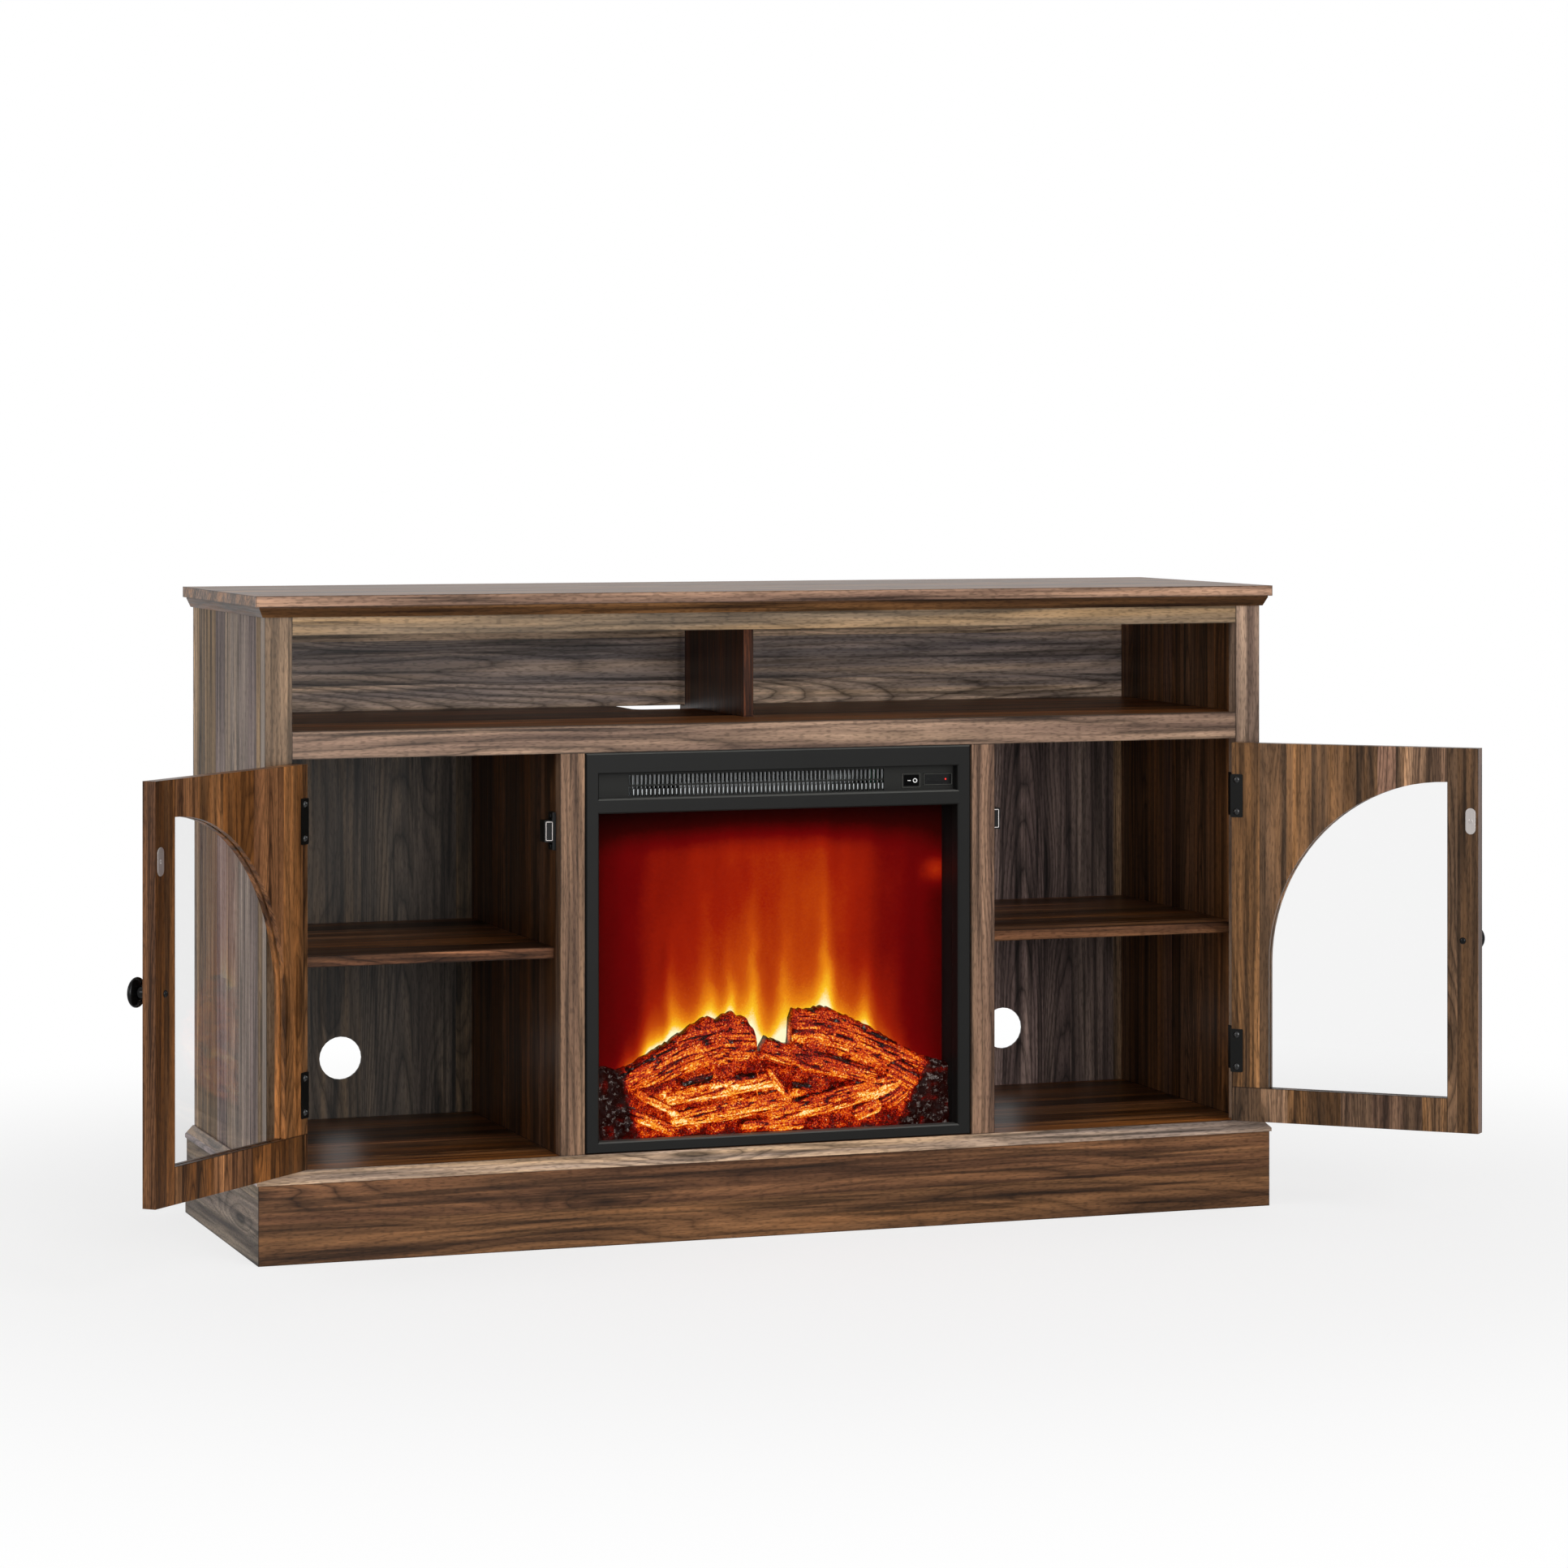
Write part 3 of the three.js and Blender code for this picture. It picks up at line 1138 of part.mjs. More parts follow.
addCarcass();
addMouldings();
addPlinth();
addDoor(-1, 'left', LEFT_DOOR_OPEN_DEG);
addDoor(1, 'right', RIGHT_DOOR_OPEN_DEG);
addCatch(-1, 'left');
addCatch(1, 'right');
addInsertFrame();
addInsertCase();
addBackCover();
addPanes();
addOutletPanel();
addRocker();
addBlower();
addFlameDrive();
addBoards();
addLogSet();

export default model;
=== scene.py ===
"""Looks of the fireplace television stand: its camera, light and finishes, and the pieces that are
too fine for the CAD model. Lengths are metres, unless a name ends in mm."""

from math import pi, radians

import bpy
import numpy as np
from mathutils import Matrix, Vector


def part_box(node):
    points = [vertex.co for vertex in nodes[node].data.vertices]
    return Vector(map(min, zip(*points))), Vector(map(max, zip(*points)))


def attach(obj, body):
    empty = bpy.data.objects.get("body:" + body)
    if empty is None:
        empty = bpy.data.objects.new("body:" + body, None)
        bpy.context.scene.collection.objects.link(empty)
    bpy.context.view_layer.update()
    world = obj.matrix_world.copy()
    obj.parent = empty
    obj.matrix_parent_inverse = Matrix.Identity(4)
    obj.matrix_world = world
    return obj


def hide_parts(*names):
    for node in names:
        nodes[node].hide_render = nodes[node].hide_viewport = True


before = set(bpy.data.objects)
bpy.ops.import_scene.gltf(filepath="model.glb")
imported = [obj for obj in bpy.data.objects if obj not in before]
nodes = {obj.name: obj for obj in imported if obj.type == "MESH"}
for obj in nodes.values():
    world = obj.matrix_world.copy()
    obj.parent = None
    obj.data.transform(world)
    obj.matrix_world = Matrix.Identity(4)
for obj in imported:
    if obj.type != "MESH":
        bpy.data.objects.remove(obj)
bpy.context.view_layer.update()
MM = 0.001
AXES = "xyz"

# Camera at the photograph's view. It is level, so uprights stay upright, and its shift frames them.
CAMERA_PLACE = (-1.6905, -5.1035, 0.8788)
CAMERA_TURN = -20.65
CAMERA_LENS_MM = 109.6
CAMERA_SHIFT = (-0.1217, -0.2112)

stage = bpy.context.scene
camera_data = bpy.data.cameras.new("camera")
camera_data.lens = CAMERA_LENS_MM
camera_data.shift_x, camera_data.shift_y = CAMERA_SHIFT
camera_data.clip_end = 60
camera = bpy.data.objects.new("camera", camera_data)
camera.location = CAMERA_PLACE
camera.rotation_euler = (pi / 2, 0, radians(CAMERA_TURN))
stage.collection.objects.link(camera)
stage.camera = camera
stage.view_settings.view_transform = "Standard"

# Doors, as the CAD model has them: distances u run from a stile's inner edge to the middle
STILE_INNER_MM = 558
PIN_INSET_MM = 1.1
PIN_FORWARD_MM = 2.6
DOOR_TURN = {"left": -134, "right": 137}
SIDE = {"left": -1, "right": 1}


def door_x(label, u):
    """X in millimetres of a distance u on a closed door."""
    return SIDE[label] * (STILE_INNER_MM - u)


def hinge_pin(label):
    """Place of a door's hinge pin in plan, in millimetres."""
    return np.array([door_x(label, PIN_INSET_MM), -PIN_FORWARD_MM])


def turn_in_plan(angle):
    """The 2 by 2 matrix of a turn about an upright axis."""
    return np.array([[np.cos(angle), -np.sin(angle)], [np.sin(angle), np.cos(angle)]])


def opened(part, label):
    """A part of a closed door turned about its hinge pin to the open pose."""
    points, pin = part[0].copy(), hinge_pin(label)
    points[:, :2] = (points[:, :2] - pin) @ turn_in_plan(radians(DOOR_TURN[label])).T + pin
    return points, part[1]


# Materials

def linear(hex_code):
    """The linear colour of an sRGB hex value, with full alpha."""
    srgb = np.array([int(hex_code[i:i + 2], 16) for i in (1, 3, 5)]) / 255
    bright = ((srgb + 0.055) / 1.055) ** 2.4
    return (*np.where(srgb <= 0.04045, srgb / 12.92, bright).tolist(), 1.0)


def set_sockets(net, node, inputs):
    """Sets a node's inputs to numbers or colours, or links them to nodes or sockets."""
    for name, value in inputs.items():
        if isinstance(value, bpy.types.Node):
            net.links.new(value.outputs[0], node.inputs[name])
        elif isinstance(value, bpy.types.NodeSocket):
            net.links.new(value, node.inputs[name])
        else:
            node.inputs[name].default_value = value


def add_node(net, kind, inputs=None, stops=None, **settings):
    """A shader node with its settings and links. Stops are the places of a colour ramp, each with a
    hex colour or a grey number."""
    node = net.nodes.new("ShaderNode" + kind)
    for name, value in settings.items():
        setattr(node, name, value)
    if stops:
        ramp = node.color_ramp.elements
        while len(ramp) < len(stops):
            ramp.new(1)
        for element, (place, colour) in zip(ramp, stops):
            element.position = place
            element.color = linear(colour) if isinstance(colour, str) else (colour,) * 3 + (1,)
    set_sockets(net, node, inputs or {})
    return node


SIGNS = {"*": "MULTIPLY", "*+": "MULTIPLY_ADD", "+": "ADD", "-": "SUBTRACT", ">": "GREATER_THAN"}


def calc(net, sign, *values):
    """A Math node's result on up to three numbers or sockets, by its sign or its operation. *+ is
    the first times the second plus the third."""
    operation = SIGNS.get(sign, sign)
    return add_node(net, "Math", dict(enumerate(values)), operation=operation).outputs[0]


def decay(net, value, rate=1):
    """The exponential of minus a number times a rate."""
    return calc(net, "EXPONENT", calc(net, "*", value, -rate))


def remap(net, value, low, high, least, most, **settings):
    """A number carried from one range to another, and held inside it."""
    inputs = {
        "Value": value, "From Min": low, "From Max": high, "To Min": least, "To Max": most,
    }
    return add_node(net, "MapRange", inputs, **settings).outputs[0]


def vary(net, value, least, most):
    """Noise, most of which lies from 0.3 to 0.7, carried to a range."""
    return remap(net, value, 0.3, 0.7, least, most)


def tex_noise(net, vector, scale, detail, **inputs):
    """A Noise Texture on a vector."""
    return add_node(net, "TexNoise", {"Vector": vector, "Scale": scale, "Detail": detail, **inputs})


def stretched_noise(net, vector, scales, detail):
    """A Noise Texture with its own cells to the metre along each axis."""
    stretched = add_node(net, "Mapping", {"Vector": vector, "Scale": scales})
    return tex_noise(net, stretched, 1, detail)


def toned(net, colour, level):
    """A colour times a number."""
    return add_node(net, "VectorMath", {0: colour, "Scale": level}, operation="SCALE")


def bump(net, height, strength, depth_mm):
    """Relief of a surface."""
    return add_node(net, "Bump", {
        "Strength": strength, "Distance": depth_mm * MM, "Height": height,
    })


def new_material(name):
    """An empty node material, its node tree and its Principled shader."""
    material = bpy.data.materials.new(name)
    material.use_nodes = True
    return material, material.node_tree, material.node_tree.nodes["Principled BSDF"]


def object_place(net):
    """The Object coordinate's socket."""
    return add_node(net, "TexCoord").outputs["Object"]


def split(net, vector):
    """The three parts of a vector."""
    return add_node(net, "SeparateXYZ", {0: vector}).outputs


def combined(net, *parts):
    """A vector from up to three parts."""
    return add_node(net, "CombineXYZ", dict(enumerate(parts)))


def facing(net):
    """The three parts of a face's direction."""
    return split(net, add_node(net, "NewGeometry").outputs["True Normal"])


# Noise in the walnut's print: cells to the metre along and across the grain, and detail. Fibres
# and pores are twice as coarse as real ones, so that they show.
PRINT_NOISE = {
    "bend": (1.7, 15, 1.5),
    "tremble": (11, 70, 2),
    "shadow": (1000 / 330, 1000 / 42, 1),
    "streak": (1000 / 420, 1000 / 13, 3),
    "vein": (1000 / 230, 1000 / 6, 2),
    "fibre": (1000 / 70, 1000 / 2.2, 2),
    "pore": (1000 / 8, 1000 / 1.5, 0),
}
# Metres by which a seed moves the print along and across the grain, and a stave's random start
SEED_ALONG, SEED_ACROSS, STAVE_START = 3.17, 0.731, 23
# Knots: cells to the metre along and across, share of cells without one, and the hill's steepness
KNOT_ALONG, KNOT_ACROSS, KNOT_FREE, KNOT_STEEP = 2.4, 12, 0.4, 4.4
# Rings by which tremble, knots and a stave's shade shift the lines
TREMBLE_RINGS, KNOT_RINGS, SHADE_RINGS = 0.9, 4, 9
# Arches: rings between a stave's middle and a place one stave width away, arches to the metre, and
# the shade of a stave and contrast of a board above which they have them
ARCH_RINGS, ARCHES_PER_METRE, ARCHED_SHADE, ARCHED_CONTRAST = 16, 12.5, 0.6, 0.15


def walnut_laminate(name, grain, tone, stave_mm, ring_mm, wave, contrast, ior, seed, box=None,
                    door=None, mitred=False, front_paler=1):
    """Printed walnut paper under melamine. It gives a satin face with fine fibres along the grain,
    straight streaks, growth rings that bend into arches, a few knots, and short dark pores. Rings
    are the fraction of the place across the grain in ring widths plus stretched noise, so that
    most lines run straight. Contrast is that between staves. A box darkens the board's edges, a
    door is turned back to its closed place, and mitred lets the grain follow a moulding round.
    Front paler is how much lighter the faces that look forward are made."""
    material, net, shader = new_material(name)
    place = object_place(net)
    if door:
        place = closed_place(net, place, door)
    if mitred:
        place = moulding_place(net, place)
    axes = split(net, place)
    along = axes[AXES.index(grain)]
    cross = [axes[i] for i in range(3) if AXES[i] != grain]
    spread = calc(net, "+", cross[0], cross[1])
    spread = calc(net, "+", spread, seed * SEED_ACROSS)
    if door:
        spread, seam, on_edge = door_joints(net, axes, spread, door)

    # Staves: cells of uneven width, each with a random shade and a random start along the grain
    stave = add_node(
        net, "TexVoronoi", {"W": spread, "Scale": 1000 / stave_mm}, voronoi_dimensions="1D"
    )
    shade = split(net, stave.outputs["Color"])
    start = calc(net, "*+", shade[0], STAVE_START, seed * SEED_ALONG)
    run = calc(net, "+", along, start)

    def drawn_out(cells_along, cells_across, detail):
        """Noise drawn out along the grain."""
        scales = (cells_along, cells_across, cells_across)
        parts = [calc(net, "*", *pair) for pair in zip((run, *cross), scales)]
        return tex_noise(net, combined(net, *parts), 1, detail)

    bend, tremble, shadow, streak, vein, fibre, pore = [
        drawn_out(*cells) for cells in PRINT_NOISE.values()
    ]

    # Knots: round hills about 24 mm across and 60 mm long on some cells of 400 by 80 mm
    knot_place = combined(net, calc(net, "*", run, KNOT_ALONG),
                          calc(net, "*", spread, KNOT_ACROSS))
    knot = add_node(net, "TexVoronoi", {"Vector": knot_place, "Scale": 1}, voronoi_dimensions="2D")
    rare = calc(net, ">", split(net, knot.outputs["Color"])[0], KNOT_FREE)
    hill = calc(net, "*", knot.outputs["Distance"], KNOT_STEEP)
    hill = calc(net, "*", decay(net, calc(net, "*", hill, hill)), rare)

    # Some staves were sawn through the middle of their rings: there the lines are arches along the
    # grain, by the square of the distance from the stave's middle
    straight = calc(net, "*", shade[0], SHADE_RINGS)
    straight = calc(net, "*+", spread, 1000 / ring_mm, straight)
    off = stave.outputs["Distance"]
    arch = calc(net, "*", run, ARCHES_PER_METRE)
    arch = calc(net, "*+", calc(net, "*", off, off), ARCH_RINGS, arch)
    arched = calc(net, ">", shade[0], ARCHED_SHADE if contrast > ARCHED_CONTRAST else 1)
    ring = calc(net, "*+", calc(net, "-", arch, straight), arched, straight)
    for shift, rings in ((bend, wave), (tremble, TREMBLE_RINGS), (hill, KNOT_RINGS)):
        ring = calc(net, "*+", shift, rings, ring)
    figure = add_node(net, "ValToRGB", {0: calc(net, "FRACT", ring)}, stops=[
        (0, 0.34), (0.07, 0.68), (0.3, 0.98), (0.6, 1.3), (0.85, 1.02), (0.96, 0.6), (1, 0.34),
    ])
    plain = remap(net, tremble, 0.25, 0.75, 0.7, 1.3)
    figured = remap(net, bend, 0.38, 0.62, 0.95, 0.2)
    figured = calc(net, "MAXIMUM", figured, calc(net, "MAXIMUM", hill, arched))
    total = calc(net, "*", calc(net, "-", figure, plain), figured)
    total = calc(net, "+", total, plain)

    # Shades that are multiplied: a board with more contrast between staves has deeper streaks too
    wide = 0.08 + 0.4 * contrast
    shades = [
        vary(net, streak, 0.6 - wide, 1.3 + wide),
        remap(net, shadow, 0.34, 0.66, 1 - wide, 1 + wide),
        vary(net, fibre, 0.82, 1.19),
        remap(net, pore, 0.52, 0.68, 1, 0.68),
        remap(net, vein, 0.52, 0.66, 1.09, 0.42),
        remap(net, shade[1], 0, 1, 1 - contrast, 1 + contrast),
        remap(net, hill, 0.75, 1, 1, 0.4),
    ]
    if box is not None:
        shades.append(board_edge(net, axes, box))
    if front_paler != 1:
        shades.append(remap(net, facing(net)[1], -0.9, -0.5, front_paler, 1))
    if door:
        shades.append(seam)
    for factor in shades:
        total = calc(net, "*", total, factor)

    # Heartwood is golden or purplish from stave to stave and streak to streak
    hue = calc(net, "*+", streak, 0.6, calc(net, "*", shade[2], 0.7))
    if door:
        hue = calc(net, "*+", on_edge, -0.6, hue)
    tint = add_node(net, "ValToRGB", {0: hue}, stops=[
        (0.3, "#e9e2ee"), (0.6, "#ffffff"), (0.9, "#ffeac4"),
    ])
    tint = add_node(net, "VectorMath", {0: tint, 1: linear(tone)[:3]}, operation="MULTIPLY")
    set_sockets(net, shader, {
        "Base Color": toned(net, tint, total), "Roughness": vary(net, fibre, 0.3, 0.4),
        "Normal": bump(net, pore, 0.2, 0.1), "IOR": ior,
    })
    return material


def board_edge(net, axes, box):
    """Shade of a board near its edges, where boards meet in a fine dark line. On a face one place
    lies on the box, so the second smallest distance to the box is that to the nearest edge."""
    gaps = []
    for axis, low, high in zip(axes, *box):
        offset = calc(net, "ABSOLUTE", calc(net, "-", axis, (low + high) / 2))
        gaps.append(calc(net, "-", (high - low) / 2, offset))
    least = calc(net, "MINIMUM", gaps[0], gaps[1])
    most = calc(net, "MAXIMUM", gaps[0], gaps[1])
    edge = calc(net, "MAXIMUM", least, calc(net, "MINIMUM", most, gaps[2]))
    return remap(net, edge, 0.2 * MM, 1.2 * MM, 0.35, 1)


def closed_place(net, place, label):
    """Object coordinate of a door turned back about its hinge pin to the closed place."""
    angle = -radians(DOOR_TURN[label])
    pin = hinge_pin(label) * MM
    shift = pin - turn_in_plan(angle) @ pin
    return add_node(net, "Mapping", {
        "Vector": place, "Location": (*shift, 0), "Rotation": (0, 0, angle),
    }).outputs[0]


# A door's joints: its knob stile, and the bottom rail between hinge side and knob stile. Past them
# the veneer goes on from another place of the print.
KNOB_STILE_MM = 262.8
BOTTOM_RAIL_MM = 142
FREE_EDGE_MM = 299.5
STILE_SHIFT, RAIL_SHIFT = 0.377, 0.619


def door_joints(net, axes, spread, label):
    """Moves the veneer on at the knob stile and the bottom rail, and gives the shade of their
    joints, which are fine dark lines, and the place of the free edge, whose strip is paler."""
    reach = calc(net, "-", STILE_INNER_MM * MM, calc(net, "ABSOLUTE", axes[0]))
    past_stile = calc(net, "-", reach, KNOB_STILE_MM * MM)
    past_rail = calc(net, "-", BOTTOM_RAIL_MM * MM, axes[2])
    on_stile = calc(net, ">", past_stile, 0)
    on_rail = calc(net, "*", calc(net, ">", past_rail, 0), calc(net, "-", 1, on_stile))
    spread = calc(net, "*+", on_stile, STILE_SHIFT, spread)
    spread = calc(net, "*+", on_rail, RAIL_SHIFT, spread)
    rail_gap = calc(net, "+", calc(net, "ABSOLUTE", past_rail), on_stile)
    gap = calc(net, "MINIMUM", calc(net, "ABSOLUTE", past_stile), rail_gap)
    on_edge = calc(net, ">", reach, (FREE_EDGE_MM - 0.1) * MM)
    seam = remap(net, gap, 0.2 * MM, 1.1 * MM, 0.3, 1)
    return spread, calc(net, "*+", on_edge, 0.6, seam), on_edge


def moulding_place(net, place):
    """Object coordinate with X and Y changed over where the face looks sideways, so that the grain
    runs along the front piece and along both returns."""
    toward = [calc(net, "ABSOLUTE", part) for part in facing(net)[:2]]
    axes = split(net, place)
    swapped = combined(net, axes[1], axes[0], axes[2])
    sideways = calc(net, ">", *toward)
    mixed = add_node(net, "Mix", {"Factor": sideways}, data_type="VECTOR")
    net.links.new(place, mixed.inputs[4])
    net.links.new(swapped.outputs[0], mixed.inputs[5])
    return mixed.outputs[1]


def coating(name, colour, rough, ior, grain_mm, relief, painted_highlight=1):
    """A dense coat or plastic, whose fine grit breaks up its shine: each grain is one noise cell,
    and wide clouds vary the tone by a few percent. Painted highlight is how much paler the coat is
    painted on faces that look up, as a painted highlight where light falls on them."""
    material, net, shader = new_material(name)
    place = object_place(net)
    grain = tex_noise(net, place, 1000 / grain_mm, 2)
    level = vary(net, tex_noise(net, place, 11, 2), 0.94, 1.06)
    # Painted highlight: faces that look up are made paler
    if painted_highlight != 1:
        level = calc(net, "*", level, remap(net, facing(net)[2], 0.4, 0.6, 1, painted_highlight))
    set_sockets(net, shader, {
        "Base Color": toned(net, linear(colour)[:3], level), "IOR": ior,
        "Roughness": vary(net, grain, rough - 0.04, rough + 0.05),
        "Normal": bump(net, grain, relief, 0.1),
    })
    return material


def bare_metal(name, colour, rough, stretch="x", line_mm=0.4):
    """Plated or rolled metal: brush lines along one direction, which draw its shine out across."""
    material, net, shader = new_material(name)
    scales = [25 if axis == stretch else 1000 / line_mm for axis in AXES]
    brush = stretched_noise(net, object_place(net), scales, 3)
    set_sockets(net, shader, {
        "Base Color": toned(net, linear(colour)[:3], vary(net, brush, 0.88, 1.08)),
        "Metallic": 1.0, "Roughness": vary(net, brush, rough - 0.05, rough + 0.1),
        "Normal": bump(net, brush, 0.12, 0.05),
    })
    return material


def float_glass(name, ior, tint):
    """Clear float glass. It shows what is behind it, mirrors the room faintly and more at a slant,
    and its fire-polished face is very slightly uneven. Light passes it without bending."""
    material, net, shader = new_material(name)
    waves = tex_noise(net, object_place(net), 9, 1)
    set_sockets(net, shader, {
        "Base Color": linear(tint), "Roughness": 0.0, "IOR": ior, "Transmission Weight": 1.0,
        "Normal": bump(net, waves, 0.02, 0.2),
    })
    clear = add_node(net, "BsdfTransparent", {"Color": linear(tint)})
    shadow = add_node(net, "LightPath").outputs["Is Shadow Ray"]
    mixed = add_node(net, "MixShader", {0: shadow, 1: shader, 2: clear})
    net.links.new(mixed.outputs[0], net.nodes["Material Output"].inputs["Surface"])
    return material


# Glow of the flames and of the embers, from unlit to white hot
GLOW = [
    (0, "#040000"), (0.14, "#2c0100"), (0.3, "#660203"), (0.44, "#9a1d05"), (0.58, "#c0490a"),
    (0.72, "#e88413"), (0.86, "#ffc627"), (1, "#fffacb"),
]
EMBER_GLOW = [
    (0, "#050101"), (0.12, "#240301"), (0.28, "#640602"), (0.43, "#ae1a05"), (0.57, "#dc4a0c"),
    (0.68, "#f67e12"), (0.84, "#ffc034"), (1, "#fff6c0"),
]
# Flame tongues: place across, height of the log line and reach upward in millimetres, and strength
TONGUES = np.array([
    (-212, 176, 20, 0), (-185, 178, 22, 0.08), (-160, 188, 22, 0.36), (-136, 198, 34, 0.95),
    (-124, 208, 34, 0.66), (-111, 214, 60, 0.94), (-92, 225, 44, 0.44), (-68, 232, 56, 0.76),
    (-56, 235, 44, 0.44), (-44, 235, 52, 0.74), (-33, 229, 48, 0.46), (-16, 208, 86, 1),
    (3, 207, 52, 0.48), (21, 206, 78, 0.92), (37, 236, 44, 0.42), (50, 238, 52, 0.46),
    (69, 235, 86, 0.96), (88, 228, 50, 0.46), (104, 219, 42, 0.5), (119, 212, 46, 0.98),
    (138, 200, 34, 0.44), (156, 190, 28, 0.26), (180, 178, 22, 0.1), (212, 170, 20, 0.02),
]) * (MM, MM, MM, 1)
SCREEN_HALF = 0.2124
# Heat of the tongues, their roots, the halo round the logs and a lamp's reflection
FLAME_HEAT, ROOT_HEAT, HALO_HEAT, SPOT_HEAT = 0.46, 0.48, 0.17, 0.26
# Fading of root and halo and narrowing of tongues with each metre of height, and their power
ROOT_FADE, HALO_FADE, NARROWING, TONGUE_POWER = 110, 16, 16, 1.35
# Reflection of a lamp on the right wall: its place, and one over its radius
SPOT_PLACE, SPOT_PER_METRE = (0.206, 0.054, 0.4), 62
# Red glow across the screen
GLOW_ACROSS = [
    (0, 0.12), (0.06, 0.23), (0.13, 0.28), (0.2, 0.36), (0.45, 0.45), (0.64, 0.45), (0.76, 0.38),
    (0.84, 0.31), (0.93, 0.26), (1, 0.18),
]


def glowing_screen(name):
    """Diffusing acrylic lit from behind by turning reflectors. Upright tongues of light stand on
    the log line and fade upwards over a red glow, which sinks to black at the top. Heat is the
    glow, plus each tongue's strength times an exponential fall with a power of height over reach.
    The strength is raised to a power that grows with height, so that tongues narrow upwards."""
    material, net, shader = new_material(name)
    place = object_place(net)
    across, _, up = split(net, place)
    sway = stretched_noise(net, place, (9, 1, 16), 1)
    lean = remap(net, up, 0.2, 0.4, 0.008, 0.03)
    swayed = calc(net, "*+", calc(net, "-", sway, 0.5), lean, across)
    share = remap(net, swayed, -SCREEN_HALF, SCREEN_HALF, 0, 1)

    def along_screen(column, unit):
        """One column of the tongues' table as a smooth curve across the screen."""
        stops = [
            ((row[0] + SCREEN_HALF) / (2 * SCREEN_HALF), row[column] / unit) for row in TONGUES
        ]
        ramp = add_node(net, "ValToRGB", {0: share}, stops)
        ramp.color_ramp.interpolation = "EASE"
        return calc(net, "*", ramp, unit)

    log_line, reach, strength = along_screen(1, 0.3), along_screen(2, 0.2), along_screen(3, 1)
    above = calc(net, "MAXIMUM", calc(net, "-", up, log_line), 0)
    flame = decay(net, calc(net, "POWER", calc(net, "DIVIDE", above, reach), TONGUE_POWER))
    narrow = calc(net, "*+", above, NARROWING, 1)
    flame = calc(net, "*", flame, calc(net, "POWER", strength, narrow))
    root = calc(net, "*", decay(net, above, ROOT_FADE), strength)

    glow = remap(net, across, -SCREEN_HALF, SCREEN_HALF, 0, 1)
    glow = add_node(net, "ValToRGB", {0: glow}, GLOW_ACROSS)
    glow.color_ramp.interpolation = "EASE"
    top = remap(net, up, 0.42, 0.48, 1, 0.05, interpolation_type="SMOOTHSTEP")
    glow = calc(net, "*", glow, top)
    cloud = stretched_noise(net, place, (22, 1, 7), 2)
    glow = calc(net, "*", glow, vary(net, cloud, 0.9, 1.1))

    spot = add_node(net, "VectorMath", {0: place, 1: SPOT_PLACE}, operation="DISTANCE")
    spot = calc(net, "*", spot.outputs["Value"], SPOT_PER_METRE)
    spot = decay(net, calc(net, "*", spot, spot))
    sideways = calc(net, "ABSOLUTE", across)
    middle = remap(net, sideways, 0.11, 0.19, 1, 0.1, interpolation_type="SMOOTHSTEP")
    halo = calc(net, "*", decay(net, above, HALO_FADE), middle)
    heat = calc(net, "*+", spot, SPOT_HEAT, glow)
    heat = calc(net, "*+", flame, FLAME_HEAT, heat)
    heat = calc(net, "*+", root, ROOT_HEAT, heat)
    heat = calc(net, "*+", halo, HALO_HEAT, heat)
    grit = tex_noise(net, place, 900, 1)
    heat = calc(net, "+", heat, vary(net, grit, -0.025, 0.025))
    set_sockets(net, shader, {
        "Base Color": linear("#0a0202"), "Roughness": 0.5, "IOR": 1.02,
        "Emission Color": add_node(net, "ValToRGB", {0: heat}, GLOW), "Emission Strength": 1.0,
    })
    return material


def glowing_resin(name):
    """Cast resin logs lit from inside. Thin and deep places glow yellow, thick ridges stay dark red
    and char black, the skin is uneven, and white specks added to the glow where it is lit are
    painted glints. The ember attribute holds the light that gets through, to which the material
    adds flecks 2 mm wide. Grey flecks in the base colour, fewer where it glows, are painted glints
    on the dark charcoal."""
    material, net, shader = new_material(name)
    place = object_place(net)
    heat = add_node(net, "Attribute", attribute_name="ember").outputs["Fac"]
    lit = remap(net, heat, 0.1, 0.35, 0.1, 1)
    fleck = tex_noise(net, place, 480, 3, Roughness=0.65)
    total = calc(net, "*+", vary(net, fleck, -0.3, 0.3), lit, heat)
    # Painted glints: white specks added to the glow where it is lit
    painted_glint = remap(net, tex_noise(net, place, 700, 1), 0.67, 0.75, 0, 0.5)
    total = calc(net, "+", total, calc(net, "*", painted_glint, lit))
    # Painted glints on the charcoal: grey flecks in the base colour, fewer where it glows
    coal_glint_noise = tex_noise(net, place, 150, 4, Roughness=0.7)
    coal_glint_noise = calc(net, "-", coal_glint_noise, calc(net, "*", lit, 0.22))
    painted_coal_glint = add_node(net, "ValToRGB", {0: coal_glint_noise}, stops=[
        (0.5, "#080403"), (0.56, "#1d1714"), (0.6, "#746e6a"), (0.64, "#14100e"),
    ])
    set_sockets(net, shader, {
        "Base Color": painted_coal_glint, "Roughness": 0.25, "IOR": 1.18, "Normal": bump(net, fleck, 0.7, 0.8),
        "Emission Color": add_node(net, "ValToRGB", {0: total}, EMBER_GLOW),
        "Emission Strength": 1.0,
    })
    return material


def lit_lamp(name, colour, strength):
    """A small lamp's lens: it glows evenly, a little paler at its middle cells."""
    material, net, shader = new_material(name)
    cells = tex_noise(net, object_place(net), 1500, 2)
    set_sockets(net, shader, {
        "Base Color": linear("#200000"), "Emission Strength": strength,
        "Emission Color": toned(net, linear(colour)[:3], vary(net, cells, 0.85, 1.15)),
    })
    return material


